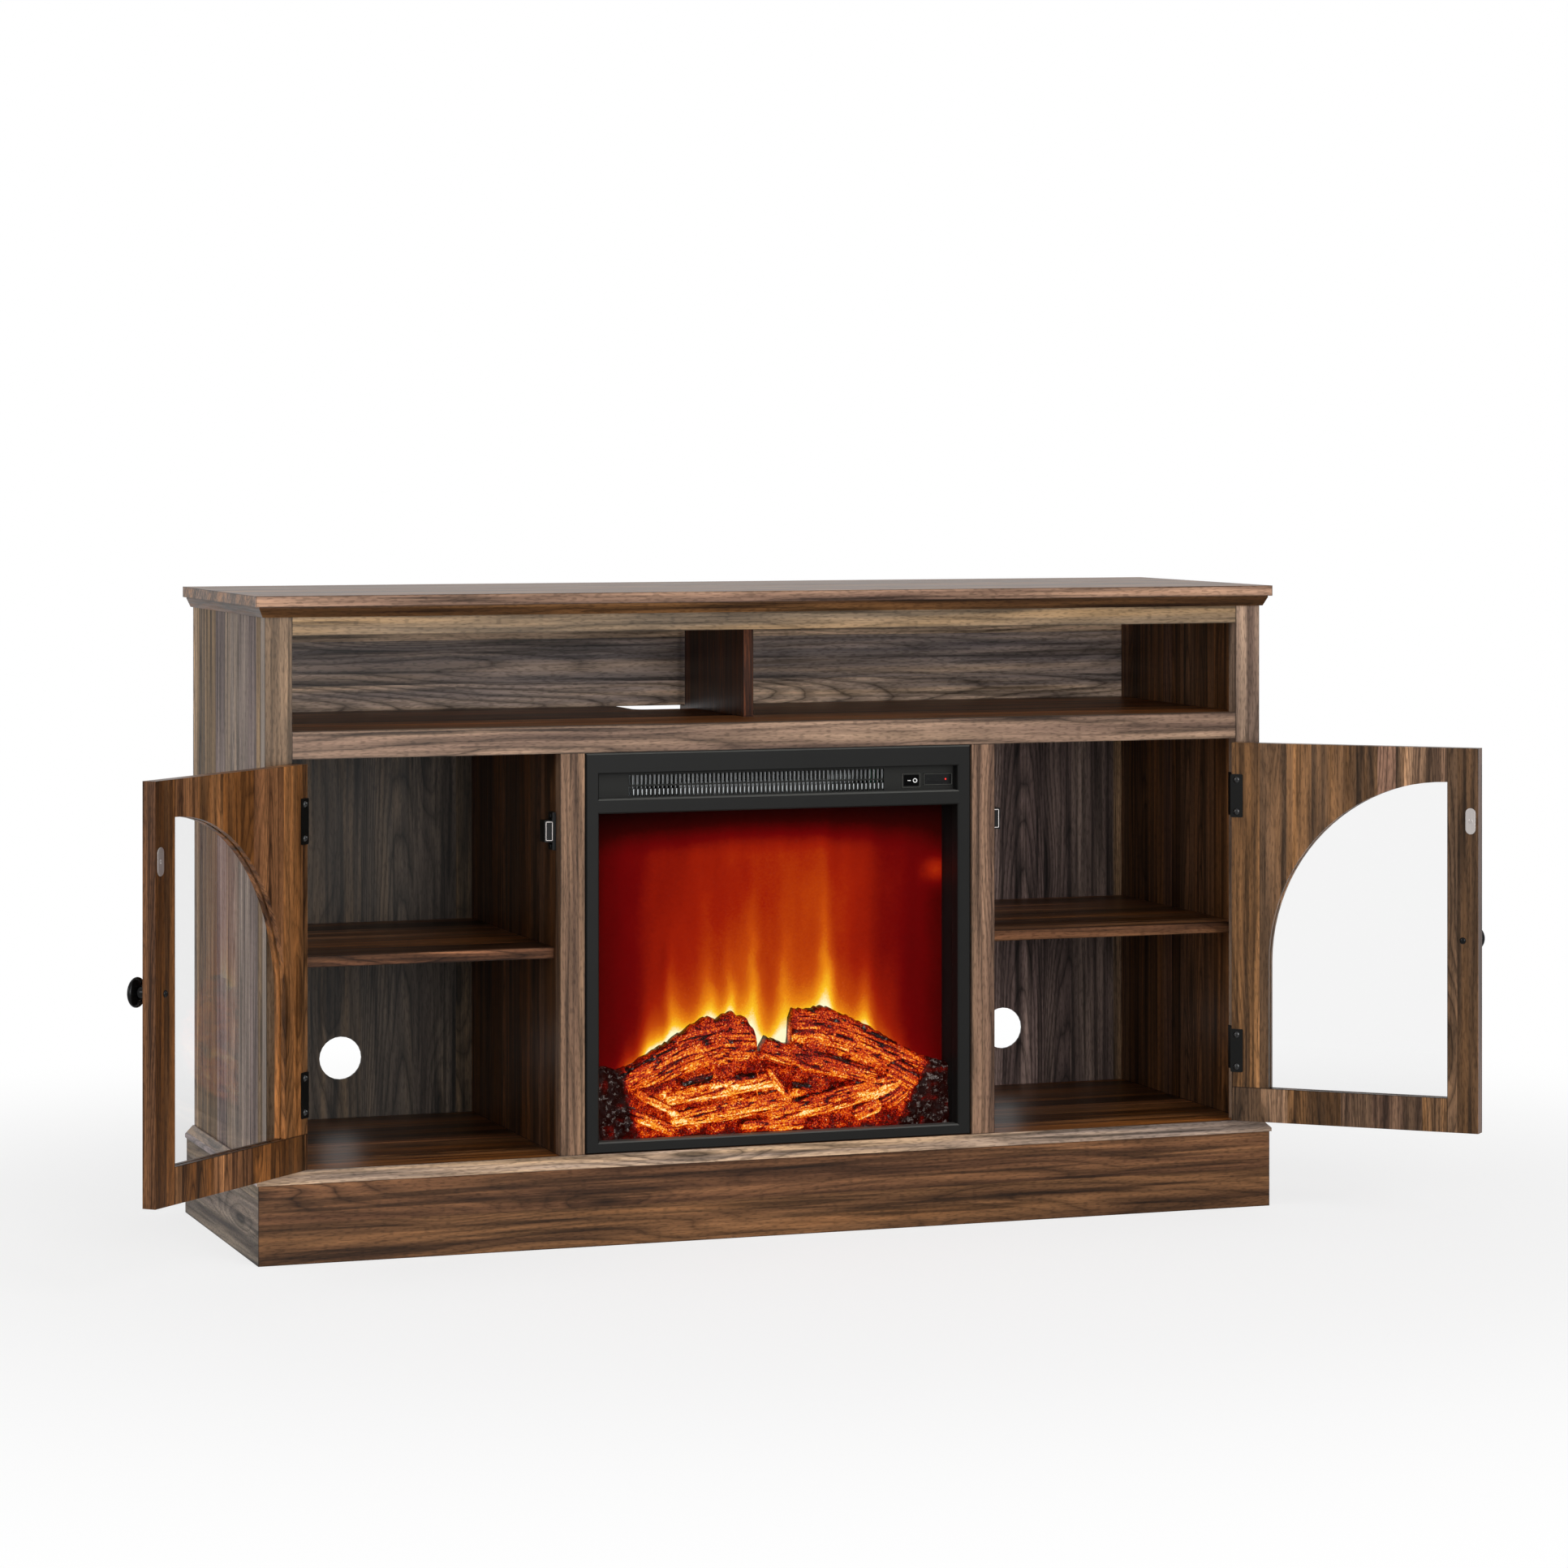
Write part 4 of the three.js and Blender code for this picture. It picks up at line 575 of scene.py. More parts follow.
def circuit_laminate(name):
    """Glass-epoxy board under green solder mask, with tracks 2.5 mm apart that show through."""
    material, net, shader = new_material(name)
    tracks = add_node(net, "TexBrick", {
        "Vector": object_place(net), "Scale": 200, "Mortar Size": 0.06,
        "Color1": linear("#0d4a30"), "Color2": linear("#0a3f28"), "Mortar": linear("#1c6a48"),
    })
    set_sockets(net, shader, {"Base Color": tracks, "Roughness": 0.35})
    return material


def assign(material, *names):
    """Gives a material to every slot of the CAD nodes of these names."""
    for name in names:
        mesh = nodes[name].data
        if not mesh.materials:
            mesh.materials.append(material)
        for i in range(len(mesh.materials)):
            mesh.materials[i] = material


# Walnut boards: grain axis, body colour, width of the staves and of the rings in millimetres, bend
# of the rings, contrast between staves, and gloss as an index of refraction. The body colour is set
# board by board and holds painted light besides the print's tone: the upper back panel and the
# upper floor are lightened against the shade under the top board, and the left side panel is greyed
# as a painted sheen.
BOARDS = {
    "top_board": ("x", "#7f6452", 85, 14, 5, 0.2, 1.15),
    "top_rail": ("x", "#82715f", 200, 14, 6, 0.1, 1.2),
    "middle_rail": ("x", "#856e59", 200, 13, 7, 0.1, 1.2),
    "upper_partition": ("z", "#512c16", 40, 13, 6, 0.35, 1.2),
    "stile_left": ("z", "#786b66", 120, 12, 7, 0.1, 1.2),
    "stile_right": ("z", "#8f7864", 120, 12, 7, 0.1, 1.2),
    "divider_stile_left": ("z", "#84684f", 120, 12, 7, 0.1, 1.2),
    "divider_stile_right": ("z", "#7c614d", 120, 12, 7, 0.1, 1.2),
    # Greyed as a painted sheen
    "side_panel_left": ("z", "#8d7e73", 42, 10, 2, 0.4, 1.05),
    "side_panel_right": ("z", "#6b4d37", 42, 12, 5, 0.45, 1.15),
    "divider_left": ("z", "#5c402c", 40, 12, 5, 0.45, 1.2),
    "divider_right": ("z", "#5c402c", 40, 12, 5, 0.45, 1.2),
    # Lightened against the shade under the top board
    "upper_floor": ("x", "#71482a", 36, 12, 5, 0.8, 1.15),
    "shelf_left": ("x", "#60412a", 36, 12, 5, 0.8, 1.15),
    "shelf_right": ("x", "#60412a", 36, 12, 5, 0.8, 1.15),
    "bottom_board": ("x", "#694426", 36, 12, 5, 0.8, 1.2),
    "base_front": ("x", "#68482e", 48, 12, 13, 0.25, 1.2),
    "base_left": ("y", "#817466", 45, 12, 8, 0.3, 1.06),
    "base_right": ("y", "#7c6a5c", 45, 12, 8, 0.3, 1.15),
    "base_back": ("x", "#6a543f", 45, 12, 8, 0.3, 1.2),
    # Lightened against the shade under the top board
    "back_panel_upper": ("x", "#a09494", 74, 12, 13, 0.3, 1.2),
    "back_panel_left": ("z", "#463d35", 60, 12, 6, 0.4, 1.2),
    "back_panel_right": ("z", "#66574e", 60, 12, 6, 0.4, 1.2),
}
# How much lighter the faces of a board that look forward, its front edge, are made
FRONT_PALER = {"upper_partition": 1.7, "shelf_left": 1.4, "shelf_right": 1.4}
for seed, (board, looks) in enumerate(BOARDS.items(), 1):
    assign(walnut_laminate(f"walnut_laminate_{board}", *looks, seed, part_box(board),
                           front_paler=FRONT_PALER.get(board, 1)), board)
# Mouldings, with the seed of the print in last place. The ledge's pale colour is painted light and
# sheen on its upward slope, and the crown's dark colour is painted shade on its downward front.
MOULDINGS = {
    # Darkened as painted shade on its downward front
    "crown": ("x", "#51371e", 30, 11, 4, 0.2, 1.15, 31),
    # Lightened as painted light and sheen on its upward slope
    "ledge": ("x", "#a3948e", 30, 12, 10, 0.2, 1.2, 32),
}
for label, looks in MOULDINGS.items():
    assign(walnut_laminate(f"walnut_laminate_{label}", *looks, mitred=True), f"{label}_moulding")
DOOR_LOOKS = {"left": ("#6e4b2e", 61), "right": ("#6e5541", 72)}
for label, (tone, seed) in DOOR_LOOKS.items():
    assign(walnut_laminate(f"walnut_laminate_{label}_door", "z", tone, 34, 12, 8, 0.5, 1.2, seed,
                           door=label), f"{label}_door_frame")

assign(float_glass("clear_float_glass", 1.3, "#f4f4f4"), "left_door_glass", "right_door_glass")
assign(float_glass("non_reflecting_glass", 1.03, "#ffffff"), "insert_glass")
# The insert frame's faces that look up are painted ten times paler, a painted highlight
assign(coating("charcoal_powder_coat", "#151514", 0.42, 1.2, 1.2, 0.12, painted_highlight=10), "insert_frame")
assign(coating("black_powder_coat", "#0d0d0c", 0.55, 1.25, 1.2, 0.12), "insert_case")
assign(coating("black_stoving_enamel", "#090908", 0.34, 1.22, 2.5, 0.06),
       *[name for name in nodes if "hinge" in name])
blackened_steel = coating("blackened_screw_steel", "#0a0a0a", 0.24, 1.5, 2.5, 0.06)
nickel = bare_metal("brushed_nickel_plate", "#aaa4a1", 0.34, "z")
assign(nickel, "left_door_striker", "right_door_striker")
assign(coating("black_catch_plastic", "#0b0b0b", 0.38, 1.25, 0.8, 0.15),
       "catch_left", "catch_right")
assign(coating("charcoal_panel_plastic", "#1d1d1b", 0.45, 1.2, 0.8, 0.15), "outlet_panel")
gloss_plastic = coating("gloss_black_plastic", "#070707", 0.22, 1.25, 3, 0.03)
assign(gloss_plastic, "receiver_window", "left_door_knob", "right_door_knob")
assign(coating("satin_rocker_nylon", "#060606", 0.6, 1.08, 0.8, 0.1), "power_rocker")
assign(bare_metal("zinc_plated_sheet", "#8d9092", 0.42, "z", 1.5),
       "back_cover", "blower_motor", "spindle_motor")
assign(bare_metal("polished_reflector_sheet", "#c8c8c4", 0.2), "flame_spindle")
assign(coating("black_nylon", "#101010", 0.55, 1.45, 0.8, 0.2), "cord_gland", "blower_rotor")
fin_metal = bare_metal("bright_aluminium_fin", "#77797a", 0.35, "z")
assign(fin_metal, "heating_element")
assign(circuit_laminate("green_solder_mask"), "lamp_board", "control_board")
assign(glowing_screen("lit_flame_diffuser"), "flame_screen")
resin = glowing_resin("glowing_log_resin")
assign(resin, "log_set")


# Pieces

def piece(name, part, material, body, replaces=(), sharp=40, ember=None):
    """A mesh object made from points in millimetres and faces, with smooth shading that breaks at
    sharp edges. Ember values become an attribute."""
    points, faces = part
    mesh = bpy.data.meshes.new(name)
    mesh.from_pydata((points * MM).tolist(), [], [list(face) for face in faces])
    mesh.polygons.foreach_set("use_smooth", np.ones(len(mesh.polygons), bool))
    mesh.set_sharp_from_angle(angle=radians(sharp))
    mesh.materials.append(material)
    if ember is not None:
        heat = mesh.attributes.new("ember", "FLOAT", "POINT")
        heat.data.foreach_set("value", np.asarray(ember, np.float32))
    mesh.update()
    thing = bpy.data.objects.new(name, mesh)
    stage.collection.objects.link(thing)
    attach(thing, body)
    if replaces:
        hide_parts(*replaces)


def ring_faces(rows, columns):
    """Faces of a stack of closed rings between two points: quads, and a fan at each end."""
    column = np.arange(columns)
    following = (column + 1) % columns
    rings = 1 + np.arange(rows - 1)[:, None] * columns
    low, beside = (rings + column).ravel(), (rings + following).ravel()
    quads = np.stack([low, beside, beside + columns, low + columns], 1)
    last = 1 + rows * columns
    top = last - columns
    first_fan = np.stack([np.zeros(columns, int), 1 + following, 1 + column], 1)
    last_fan = np.stack([np.full(columns, last), top + column, top + following], 1)
    return quads.tolist() + first_fan.tolist() + last_fan.tolist()


def turned(profile, segments=48, recess=None):
    """A turned shape: a profile of radius and height, from the axis to the axis, carried round Z.
    A recess lowers the heights by a function of X and Y."""
    profile = np.array(profile, float)
    angle = np.arange(segments) / segments * 2 * pi
    radius, height = profile[1:-1, 0], profile[1:-1, 1]
    x = radius[:, None] * np.cos(angle)
    y = radius[:, None] * np.sin(angle)
    z = np.repeat(height[:, None], segments, 1)
    points = np.stack([x, y, z], -1).reshape(-1, 3)
    points = np.vstack([[0, 0, profile[0, 1]], points, [0, 0, profile[-1, 1]]])
    if recess:
        points[:, 2] -= recess(points[:, 0], points[:, 1])
    return points, ring_faces(len(radius), segments)


def round_corners(width, height, radius, segments):
    """For each point of a round-cornered outline, its corner's middle and the direction from
    there, along which it lies one radius away."""
    corner = np.linspace(0, pi / 2, segments)
    sweep = np.concatenate([corner + quarter * pi / 2 for quarter in range(4)])
    signs = np.repeat([[1, 1], [-1, 1], [-1, -1], [1, -1]], segments, 0)
    middles = signs * [width / 2 - radius, height / 2 - radius]
    return middles, np.stack([np.cos(sweep), np.sin(sweep)], 1)


def rounded_plate(width, height, thickness, radius, edge, segments=9):
    """A plate with round corners, whose front edge is its outline drawn in along a quarter circle.
    It lies in X and Z, and its front is at Y = 0."""
    middles, outward = round_corners(width, height, radius, segments)
    bend = np.linspace(0, pi / 2, 5)
    insets = np.concatenate([[edge * 2], edge * (1 - np.sin(bend)), [0], [edge]])
    depths = np.concatenate([[0], edge * (1 - np.cos(bend)), [thickness], [thickness]])
    rings = []
    for inset, depth in zip(insets, depths):
        flat = middles + max(radius - inset, 0.02) * outward
        rings.append(np.stack([flat[:, 0], np.full(len(flat), depth), flat[:, 1]], 1))
    points = np.vstack([[[0, 0, 0]], *rings, [[0, thickness, 0]]])
    return points, [face[::-1] for face in ring_faces(len(rings), len(outward))]


def bead(width, height, radius, reach, rise):
    """A closed bead along a rectangle with round corners, in X and Z: an ellipse of half sizes
    reach and rise, carried along the outline."""
    middles, outward = round_corners(width, height, radius, 8)
    tube = np.arange(8) / 8 * 2 * pi
    over = reach * np.cos(tube)[None, :, None] * outward[:, None]
    flat = (middles + radius * outward)[:, None] + over
    depth = np.repeat(rise * np.sin(tube)[None, :], len(outward), 0)
    points = np.stack([flat[..., 0], depth, flat[..., 1]], -1).reshape(-1, 3)
    grid = np.arange(len(points)).reshape(len(outward), len(tube))
    beside, above = np.roll(grid, -1, 0), np.roll(grid, -1, 1)
    faces = np.stack([grid, above, np.roll(beside, -1, 1), beside], -1).reshape(-1, 4).tolist()
    return points, faces


def joined(parts):
    """Several parts, each of points and faces, as one."""
    points, faces, start = [], [], 0
    for part_points, part_faces in parts:
        points.append(part_points)
        faces += [[start + index for index in face] for face in part_faces]
        start += len(part_points)
    return np.vstack(points), faces


def moved(part, place, turn=None):
    """A part turned by a matrix and moved."""
    points, faces = part
    if turn is not None:
        points = points @ np.array(turn, float).T
    return points + np.array(place, float), faces


# Turns that make a height along Z run forward or backward, and a plate's front look backward
FORWARD = [[1, 0, 0], [0, 0, -1], [0, 1, 0]]
BACKWARD = [[-1, 0, 0], [0, 0, 1], [0, 1, 0]]
TURNED_ROUND = [[-1, 0, 0], [0, -1, 0], [0, 0, 1]]


def cross_recess(x, y):
    """Depth of a screw's cross slots: 0.5 mm within 0.5 mm of an axis and 2.2 mm of the middle."""
    near = np.minimum(np.abs(x), np.abs(y)) < 0.5
    return np.where(near & (np.hypot(x, y) < 2.2), 0.5, 0.0)


def screw_dome(radius, height):
    """A domed screw head with a cross recess: a quarter ellipse of radius and height, turned."""
    angle = np.linspace(0, pi / 2, 12)
    dome = [(radius * np.cos(a), height * np.sin(a)) for a in angle]
    return turned([(0, -0.1), (radius, -0.1), *dome[:-1], (0, height)], 40, cross_recess)


# Door hardware, built on a closed door and then opened, seated on the door's inner face
DOOR_MIDDLE_MM = 322.5
SEAT_MM = 15.8
KNOB_U_MM = 281.3
CAP_RADIUS_MM, CAP_MIDDLE_MM, CAP_HALF_MM, CAP_POWER = 15.9, 19, 5, 0.75
NECK_RADIUS_MM = 6.6
STRIKER_U_MM = 290.5
STRIKER_HEIGHT_MM = 459
STRIKER_MM = 0.7
HINGE_SCREW_U_MM = 8.8
HINGE_SCREW_HEIGHTS_MM = (462, 499, 166, 203)
LEAF_MM = 0.8
POLES_X_MM, POLES_Y_MM = 265, 17.2


def knob_profile():
    """Radius and height of a knob's foot, waist and mushroom cap, whose radius is a power of the
    cosine."""
    angle = np.linspace(-pi / 2, pi / 2, 25)
    cap = [(CAP_RADIUS_MM * max(np.cos(a), 0) ** CAP_POWER, CAP_MIDDLE_MM + CAP_HALF_MM * np.sin(a))
           for a in angle]
    cap = [point for point in cap if point[0] > NECK_RADIUS_MM or point[1] > CAP_MIDDLE_MM]
    waist = [(8.5 - 2.7 * np.sin(t), 2.2 + 3 * t) for t in np.linspace(0, pi / 2, 8)]
    foot = [(0, 0.3), (8.1, 0.3), (8.5, 0.8)]
    neck = [(5.6, 10), (6.0, 13), (NECK_RADIUS_MM, 15.2)]
    return [*foot, *waist, *neck, *cap[:-1], (0, CAP_MIDDLE_MM + CAP_HALF_MM)]


for label, side in SIDE.items():
    door = f"{label}_door"

    # Knob, its bolt, and the bolt's domed head behind
    x = door_x(label, KNOB_U_MM)
    knob = joined([
        moved(turned(knob_profile()), (x, 0, DOOR_MIDDLE_MM), FORWARD),
        moved(turned([(0, 0), (2, 0), (2, 17), (0, 17)], 24), (x, -1, DOOR_MIDDLE_MM), BACKWARD),
        moved(screw_dome(3.8, 1.8), (x, SEAT_MM, DOOR_MIDDLE_MM), BACKWARD),
    ])
    piece(f"{label}_turned_knob", opened(knob, label), gloss_plastic, door,
          [f"{door}_knob"])

    # Striker: a pressed plate with one screw
    x = door_x(label, STRIKER_U_MM)
    plate = rounded_plate(12, 30, STRIKER_MM, 5.99, 0.3)
    striker = joined([
        moved(plate, (x, SEAT_MM + STRIKER_MM, STRIKER_HEIGHT_MM), TURNED_ROUND),
        moved(screw_dome(2.8, 0.5), (x, SEAT_MM + 0.5, STRIKER_HEIGHT_MM), BACKWARD),
    ])
    piece(f"{label}_striker_plate", opened(striker, label), nickel, door,
          [f"{door}_striker"])

    # Domed heads over the hinge screws
    x = door_x(label, HINGE_SCREW_U_MM)
    domes = joined([
        moved(screw_dome(4.0, 2.0), (x, SEAT_MM + LEAF_MM, height), BACKWARD)
        for height in HINGE_SCREW_HEIGHTS_MM
    ])
    piece(f"{label}_hinge_screw_heads", opened(domes, label), blackened_steel, door)

    # Poles of the catch: the rim of the magnet's steel cup
    rim = moved(bead(7.2, 20.4, 0.8, 0.55, 0.25),
                (side * POLES_X_MM, POLES_Y_MM, STRIKER_HEIGHT_MM))
    piece(f"{label}_catch_poles", rim, nickel, "cabinet")

# Fins of the heater behind the outlet's comb, bright at their lower half and thin above
fins = []
for x in np.arange(-167.4, 128, 5.0):
    fins.append(moved(rounded_plate(2.1, 7.6, 3, 1.0, 0.5, 3), (x, 17.6, 499.8)))
    fins.append(moved(rounded_plate(0.6, 15, 2, 0.25, 0.1, 2), (x - 0.8, 18.6, 511.4)))
    fins.append(moved(rounded_plate(0.5, 12, 2, 0.2, 0.1, 2), (x + 0.9, 20.5, 512.8)))
piece("outlet_fins", joined(fins), fin_metal, "cabinet")

# Marks of the rocker: a bar on its flush half and a ring on its raised half, which slopes
white_ink = coating("white_pad_print", "#e8e8e6", 0.5, 1.4, 0.6, 0.05)
SWITCH_X_MM, SWITCH_Z_MM, ROCKER_FACE_MM = 161.0, 505.3, 14.8
BAR_OFF_MM, RING_OFF_MM = 2.6, 4.3
slope = radians(18)
bar = moved(rounded_plate(3.8, 0.9, 0.25, 0.3, 0.1),
            (SWITCH_X_MM - BAR_OFF_MM, ROCKER_FACE_MM - 0.12, SWITCH_Z_MM))
tilt = [[np.cos(slope), np.sin(slope), 0], [-np.sin(slope), np.cos(slope), 0], [0, 0, 1]]
ring_place = (SWITCH_X_MM + RING_OFF_MM * np.cos(slope),
              ROCKER_FACE_MM - RING_OFF_MM * np.sin(slope), SWITCH_Z_MM)
ring = moved(bead(4.2, 4.2, 2.09, 0.45, 0.16), ring_place, tilt)
piece("switch_marks", joined([bar, ring]), white_ink, "power_rocker")

# Rims of the rocker's bezel and of the receiver's window, which catch the light. Their coat is
# painted paler than the panel's, as a painted highlight.
rims = joined([
    moved(bead(21.4, 15.9, 0.8, 0.5, 0.5), (SWITCH_X_MM, 15.4, SWITCH_Z_MM)),
    moved(bead(33.8, 12.4, 0.8, 0.5, 0.5), (193.6, 15.5, 506.0)),
])
piece("panel_rims", rims, coating("panel_rim_painted_highlight", "#3b3b37", 0.35, 1.3, 0.8, 0.1),
      "cabinet")

# Receiver lens: a dark rounded slot with its standby lamp
lens = moved(rounded_plate(26.4, 6.3, 0.6, 2, 0.25), (194.4, 15.0, 506.0))
piece("receiver_lens", lens, gloss_plastic, "cabinet")
lamp = moved(turned([(0, -0.2), (0.9, -0.2), (0.8, 0.3), (0.45, 0.5), (0, 0.55)], 24),
             (202.7, 14.95, 506.1), FORWARD)
piece("standby_lamp", lamp, lit_lamp("red_standby_lamp", "#ff2418", 2.0), "cabinet")


# Log set

NOISE = np.random.default_rng(7).random((256, 256))


def noise(u, v, seed=0):
    """Value noise from -1 to 1 on cells of size one: random corner values, blended smoothly."""
    u, v = u + 31.7 * seed, v + 17.3 * seed
    iu, iv = np.floor(u).astype(int), np.floor(v).astype(int)
    fu, fv = u - iu, v - iv
    fu, fv = fu * fu * (3 - 2 * fu), fv * fv * (3 - 2 * fv)
    a, b = NOISE[iu % 256, iv % 256], NOISE[(iu + 1) % 256, iv % 256]
    c, d = NOISE[iu % 256, (iv + 1) % 256], NOISE[(iu + 1) % 256, (iv + 1) % 256]
    return ((a * (1 - fu) + b * fu) * (1 - fv) + (c * (1 - fu) + d * fu) * fv) * 2 - 1


# Top outline of the log set, across and up
LOG_OUTLINE = np.array([
    (-212.1, 186), (-204, 190), (-192, 192), (-180, 187), (-170, 190), (-158, 196), (-140, 206),
    (-125, 214), (-110, 223), (-96, 232), (-85, 238), (-74, 243), (-64, 240), (-55, 245),
    (-44, 247), (-38, 242), (-33, 243), (-27, 237), (-21, 228), (-18.5, 218), (-17.5, 202),
    (-14.5, 200), (-12, 208), (-5.7, 218), (5, 214), (18, 209), (21.5, 208), (22.5, 236), (27, 248),
    (45, 247), (62, 250), (80, 243), (106, 231), (125, 221), (141, 211), (166, 197), (177, 190),
    (190, 186), (205, 182), (212.1, 180),
])
# Logs: across, up and half width along each axis, then the front, bulge, heat and depth of bark
LOGS = [
    ([(-177, 171, 12), (-140, 187, 19), (-100, 204, 26), (-60, 214, 29), (-17, 212, 22)],
     30, 12, 0.4, 1.0),
    ([(21, 229, 21), (60, 226, 24), (100, 209, 24), (140, 190, 21), (182, 172, 15)],
     30, 12, 0.42, 1.0),
    ([(0, 205, 16), (40, 191, 14), (118, 168, 10)], 27, 9, 0.4, 0.8),
    ([(-118, 153, 8), (-60, 163, 11), (-2, 170, 10)], 26, 8, 0.5, 0.9),
    ([(-112, 130, 10), (-50, 138, 12), (10, 146, 13)], 24, 9, 0.47, 1.0),
    ([(6, 130, 12), (70, 143, 13), (142, 158, 12)], 24, 9, 0.47, 1.0),
    ([(-158, 161, 5), (-114, 137, 4)], 24, 4, 0.55, 0.4),
    ([(-168, 140, 7), (-122, 120, 7)], 25, 6, 0.42, 0.6),
    ([(-4, 178, 5), (16, 149, 5)], 22, 4, 0.5, 0.5),
    ([(26, 163, 4), (40, 160, 4)], 21, 3, 0.12, 0.3),
    ([(-78, 178, 6), (-104, 172, 5)], 22, 4, 0.16, 0.5),
    ([(150, 172, 14), (164, 164, 14)], 24, 9, 0.36, 0.5),
    ([(138, 140, 10), (152, 148, 11)], 24, 8, 0.38, 0.5),
    ([(104, 128, 9), (122, 134, 9)], 25, 7, 0.5, 0.5),
    ([(-30, 118, 8), (30, 120, 9)], 26, 6, 0.42, 0.6),
]
# Gaps through which the lamp shines: across, up, half width across and up, and added heat
GAPS = [
    (-124, 157, 9, 6, 0.5), (-118, 137, 5, 9, 0.42), (-66, 165, 42, 4, 0.36),
    (-60, 151, 38, 3, 0.3), (-5, 160, 12, 4, 0.3), (-104, 128, 9, 6, 0.3), (-150, 128, 8, 5, 0.3),
    (133, 158, 7, 7, 0.3), (27, 152, 10, 5, 0.42), (118, 172, 9, 5, 0.42), (128, 146, 6, 5, 0.4),
    (77, 132, 10, 6, 0.34), (38, 133, 16, 3, 0.24), (-90, 120, 22, 5, 0.24),
    (-20, 130, 18, 4, 0.22), (105, 150, 12, 3, 0.22),
]
# Half width, floor, back and foremost place of the log set
LOG_HALF_MM, LOG_FLOOR_MM, LOG_BACK_MM, LOG_FRONT_MM = 212.1, 102.6, 48.0, 20
# Charcoal bed: its front, its lumps, its heat and the heat's swing
BED_MM, BED_LUMPS_MM, BED_HEAT, BED_SWING = 36, 4, 0.34, 0.14
# Bark: depth of crevices and ridges, heat that crevices, ridges, the upper side and the edge take,
# and the share of the half width where the edge begins. The heat the edge takes is painted shade
# where logs meet.
CREVICE_MM, FINE_MM = 1.8, 0.5
CREVICE_COOLS, FINE_COOLS, UPPER_COOLS, EDGE_PAINTED_SHADE, EDGE_FROM = 0.42, 0.2, 0.16, 0.3, 0.78
# Rounding of the set's rim: its width, and how far it falls back
RIM_MM, RIM_BACK_MM = 5, 7


def log_fields(x, z):
    """Depth of the log set's front and its heat, from 0 to 1. Each log is a bulge that follows a
    half ellipse across its axis, roughened by bark ridges along it. The foremost one shows. Gaps
    add heat as soft spots, and charcoal lies at both sides and at the bottom."""
    lumps = noise(x / 9, z / 9, 1) + 0.6 * noise(x / 4, z / 4, 2) + 0.4 * noise(x / 1.8, z / 1.8, 3)
    front = BED_MM - BED_LUMPS_MM * lumps
    heat = BED_HEAT + BED_SWING * lumps
    for index, (stations, face, bulge, warmth, bark) in enumerate(LOGS):
        best = np.full(x.shape, 1e9)
        side = np.zeros(x.shape)
        length = np.zeros(x.shape)
        width = np.ones(x.shape)
        covered = 0.0
        for (x0, z0, r0), (x1, z1, r1) in zip(stations, stations[1:]):
            run = np.array([x1 - x0, z1 - z0])
            size = np.hypot(*run)
            share = ((x - x0) * run[0] + (z - z0) * run[1]) / size ** 2
            held = np.clip(share, 0, 1)
            over = np.hypot(x - x0 - held * run[0], z - z0 - held * run[1])
            signed = ((z - z0) * run[0] - (x - x0) * run[1]) / size
            radius = r0 + held * (r1 - r0)
            nearer = over / radius < best
            best = np.where(nearer, over / radius, best)
            side = np.where(nearer, signed, side)
            length = np.where(nearer, covered + held * size, length)
            width = np.where(nearer, radius, width)
            covered += size
        ragged = best + 0.06 * noise(length / 7, side / 3, index + 4)
        ridge = np.abs(noise(length / 30, side / 2.5, index + 20))
        crevice = np.exp(-(ridge / 0.15) ** 2)
        fine = noise(length / 12, side / 1.5, index + 40)
        profile = np.sqrt(np.clip(1 - ragged ** 2, 0, 1))
        log_front = face + bulge * (1 - profile) + bark * (CREVICE_MM * crevice - FINE_MM * fine)
        log_heat = warmth + 0.12 - CREVICE_COOLS * crevice * (0.4 + 0.6 * bark) - FINE_COOLS * fine
        log_heat -= UPPER_COOLS * np.clip(side / width, -1, 1)
        # Painted shade where logs meet: the glow falls toward each log's edge
        log_heat -= EDGE_PAINTED_SHADE * np.clip((ragged - EDGE_FROM) / (1 - EDGE_FROM), 0, 1)
        wins = (ragged < 1) & (log_front < front)
        front = np.where(wins, log_front, front)
        heat = np.where(wins, log_heat, heat)
    for gx, gz, wide, high, extra in GAPS:
        wobble = 0.4 * noise(x / 6, z / 6, 60)
        spot = np.exp(-((x - gx) / wide) ** 2 - ((z - gz) / high) ** 2 + wobble)
        heat = heat + extra * spot * (0.75 + 0.5 * noise(x / 3, z / 3, 61))
        front = front + 3 * np.clip(spot, 0, 1)
    at_left = (-163 - 0.25 * (z - 150) - x) / 9
    at_right = (x - 146 - 0.5 * (z - 112)) / 12
    at_floor = (113 + 3 * noise(x / 7, z / 7, 62) - z) / 5
    coal = np.clip(np.maximum(np.maximum(at_left, at_right), at_floor), 0, 1)
    shards = noise(x / 7, z / 10, 63) + 0.7 * noise(x / 3, z / 4, 64)
    ember = 0.05 + 0.16 * np.clip(noise(x / 8, z / 8, 65), 0, 1)
    front = front * (1 - coal) + coal * (32 - 4 * shards)
    return front, heat * (1 - coal) + coal * ember


